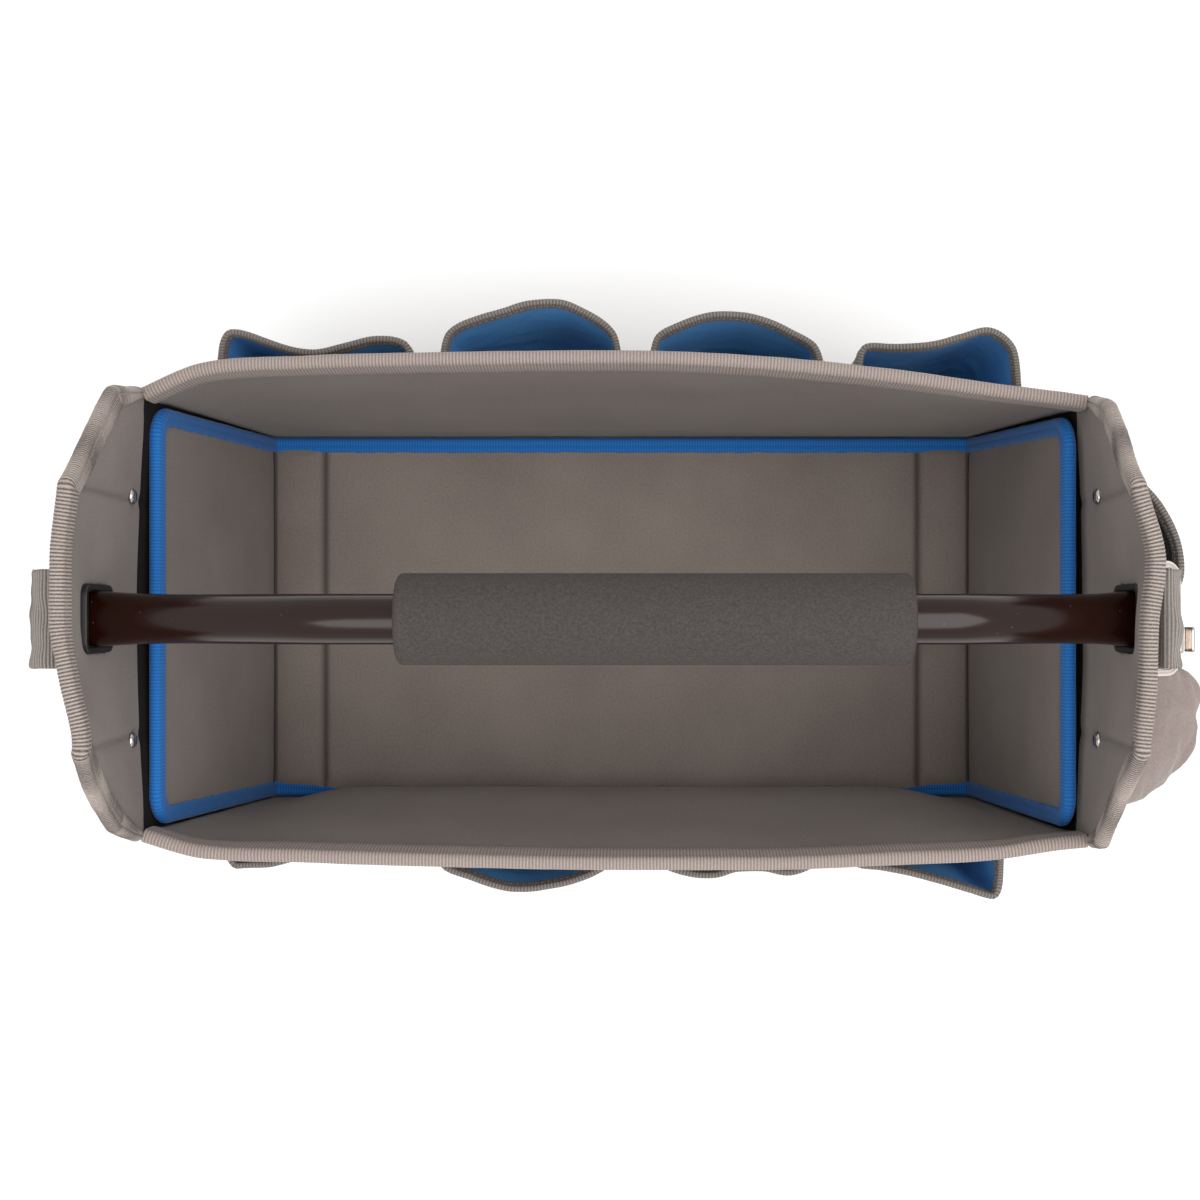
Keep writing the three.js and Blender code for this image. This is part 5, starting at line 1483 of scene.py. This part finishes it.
fit(ring, "nickel", "right_ring")

hook_radius = RING_WIRE / 2 + GAP + CLIP_STEEL / 2
low_x = ring_x + RING_TIP
low_z = ring_z - RING_DROP
turns = np.radians(np.linspace(200, 0, 15))
line = [(low_x + hook_radius * math.cos(a), CLIP_OFF, low_z + hook_radius * math.sin(a))
        for a in turns]
line += [(low_x + hook_radius, CLIP_OFF, low_z - CLIP_LENGTH * 0.86),
         (low_x + hook_radius + CLIP_REACH / 2, CLIP_OFF, low_z - CLIP_LENGTH),
         (low_x + hook_radius + CLIP_REACH, CLIP_OFF, low_z - CLIP_LENGTH + CLIP_REACH)]
swing = math.radians(HOOK_SWING)
line = [(low_x + (x - low_x) * math.cos(swing) - (z - low_z) * math.sin(swing), y,
         low_z + (x - low_x) * math.sin(swing) + (z - low_z) * math.cos(swing))
        for x, y, z in line]
path = rounded_line(line, 2, 0.7, looped=False)
tangent = unit(np.gradient(path, axis=0))
across = np.stack([-tangent[:, 2], 0 * tangent[:, 0], tangent[:, 0]], axis=-1)
y = np.linspace(-CLIP_WIDTH / 2, CLIP_WIDTH / 2, 9)
round_off = np.clip((CLIP_WIDTH / 2 - np.abs(y)) / 0.8, 0.45, 1) ** 0.5


def hook_face(way):
    points = path[:, None] + across[:, None] * (way * CLIP_STEEL / 2 * round_off)[:, None]
    points[..., 1] = CLIP_OFF + y
    return points


hook = loft("plated_right_hook", there_and_back(hook_face(1), hook_face(-1)))
hook.data.materials.append(nickel)
fit(hook, "nickel", "right_hook")


# Floor, camera and light. The photo is taken from straight above the open top, under a wide
# soft lamp a little to the front and right, and a white studio all round.
FLOOR_SIZE = 9
FLOOR_WHITE = "#fbfbfb"
CAMERA_PLACE = (17.3, 3.5, 1160)
CAMERA_FOCUS = 48.8
CAMERA_SHIFT = (-0.0383, 0.01)
LAMP_SIZE = (3.0, 2.0)
LAMP_POWER = 54
LAMP_PLACE = (0.42, -0.48, 2.35)
SKY = 0.86
bpy.ops.object.select_all(action="DESELECT")
bpy.ops.mesh.primitive_plane_add(size=FLOOR_SIZE)
floor = bpy.context.object
floor.name = "studio_floor"
floor_paint = bare_material("pale_studio_floor")
shader = add_node(floor_paint, "ShaderNodeBsdfPrincipled",
                  {"Base Color": linear(FLOOR_WHITE), "Roughness": 0.9})
add_node(floor_paint, "ShaderNodeOutputMaterial", {"Surface": shader.outputs[0]})
floor.data.materials.append(floor_paint)

bpy.ops.object.camera_add(location=[c * MM for c in CAMERA_PLACE], rotation=(0, 0, 0))
camera = bpy.context.object
camera.data.lens = CAMERA_FOCUS
camera.data.sensor_width = 36
camera.data.shift_x, camera.data.shift_y = CAMERA_SHIFT
camera.data.clip_start = 0.01
bpy.context.scene.camera = camera

bpy.ops.object.light_add(type="AREA", location=LAMP_PLACE)
lamp = bpy.context.object
lamp.rotation_euler = (-Vector(LAMP_PLACE)).to_track_quat("-Z", "Y").to_euler()
lamp.data.shape = "RECTANGLE"
lamp.data.size, lamp.data.size_y = LAMP_SIZE
lamp.data.energy = LAMP_POWER
lamp.visible_camera = False

world = bpy.data.worlds.new("soft_box")
world.use_nodes = True
world.node_tree.nodes["Background"].inputs["Color"].default_value = linear("#ffffff")
world.node_tree.nodes["Background"].inputs["Strength"].default_value = SKY
bpy.context.scene.world = world
bpy.context.scene.view_settings.view_transform = "Standard"

bpy.context.view_layer.update()
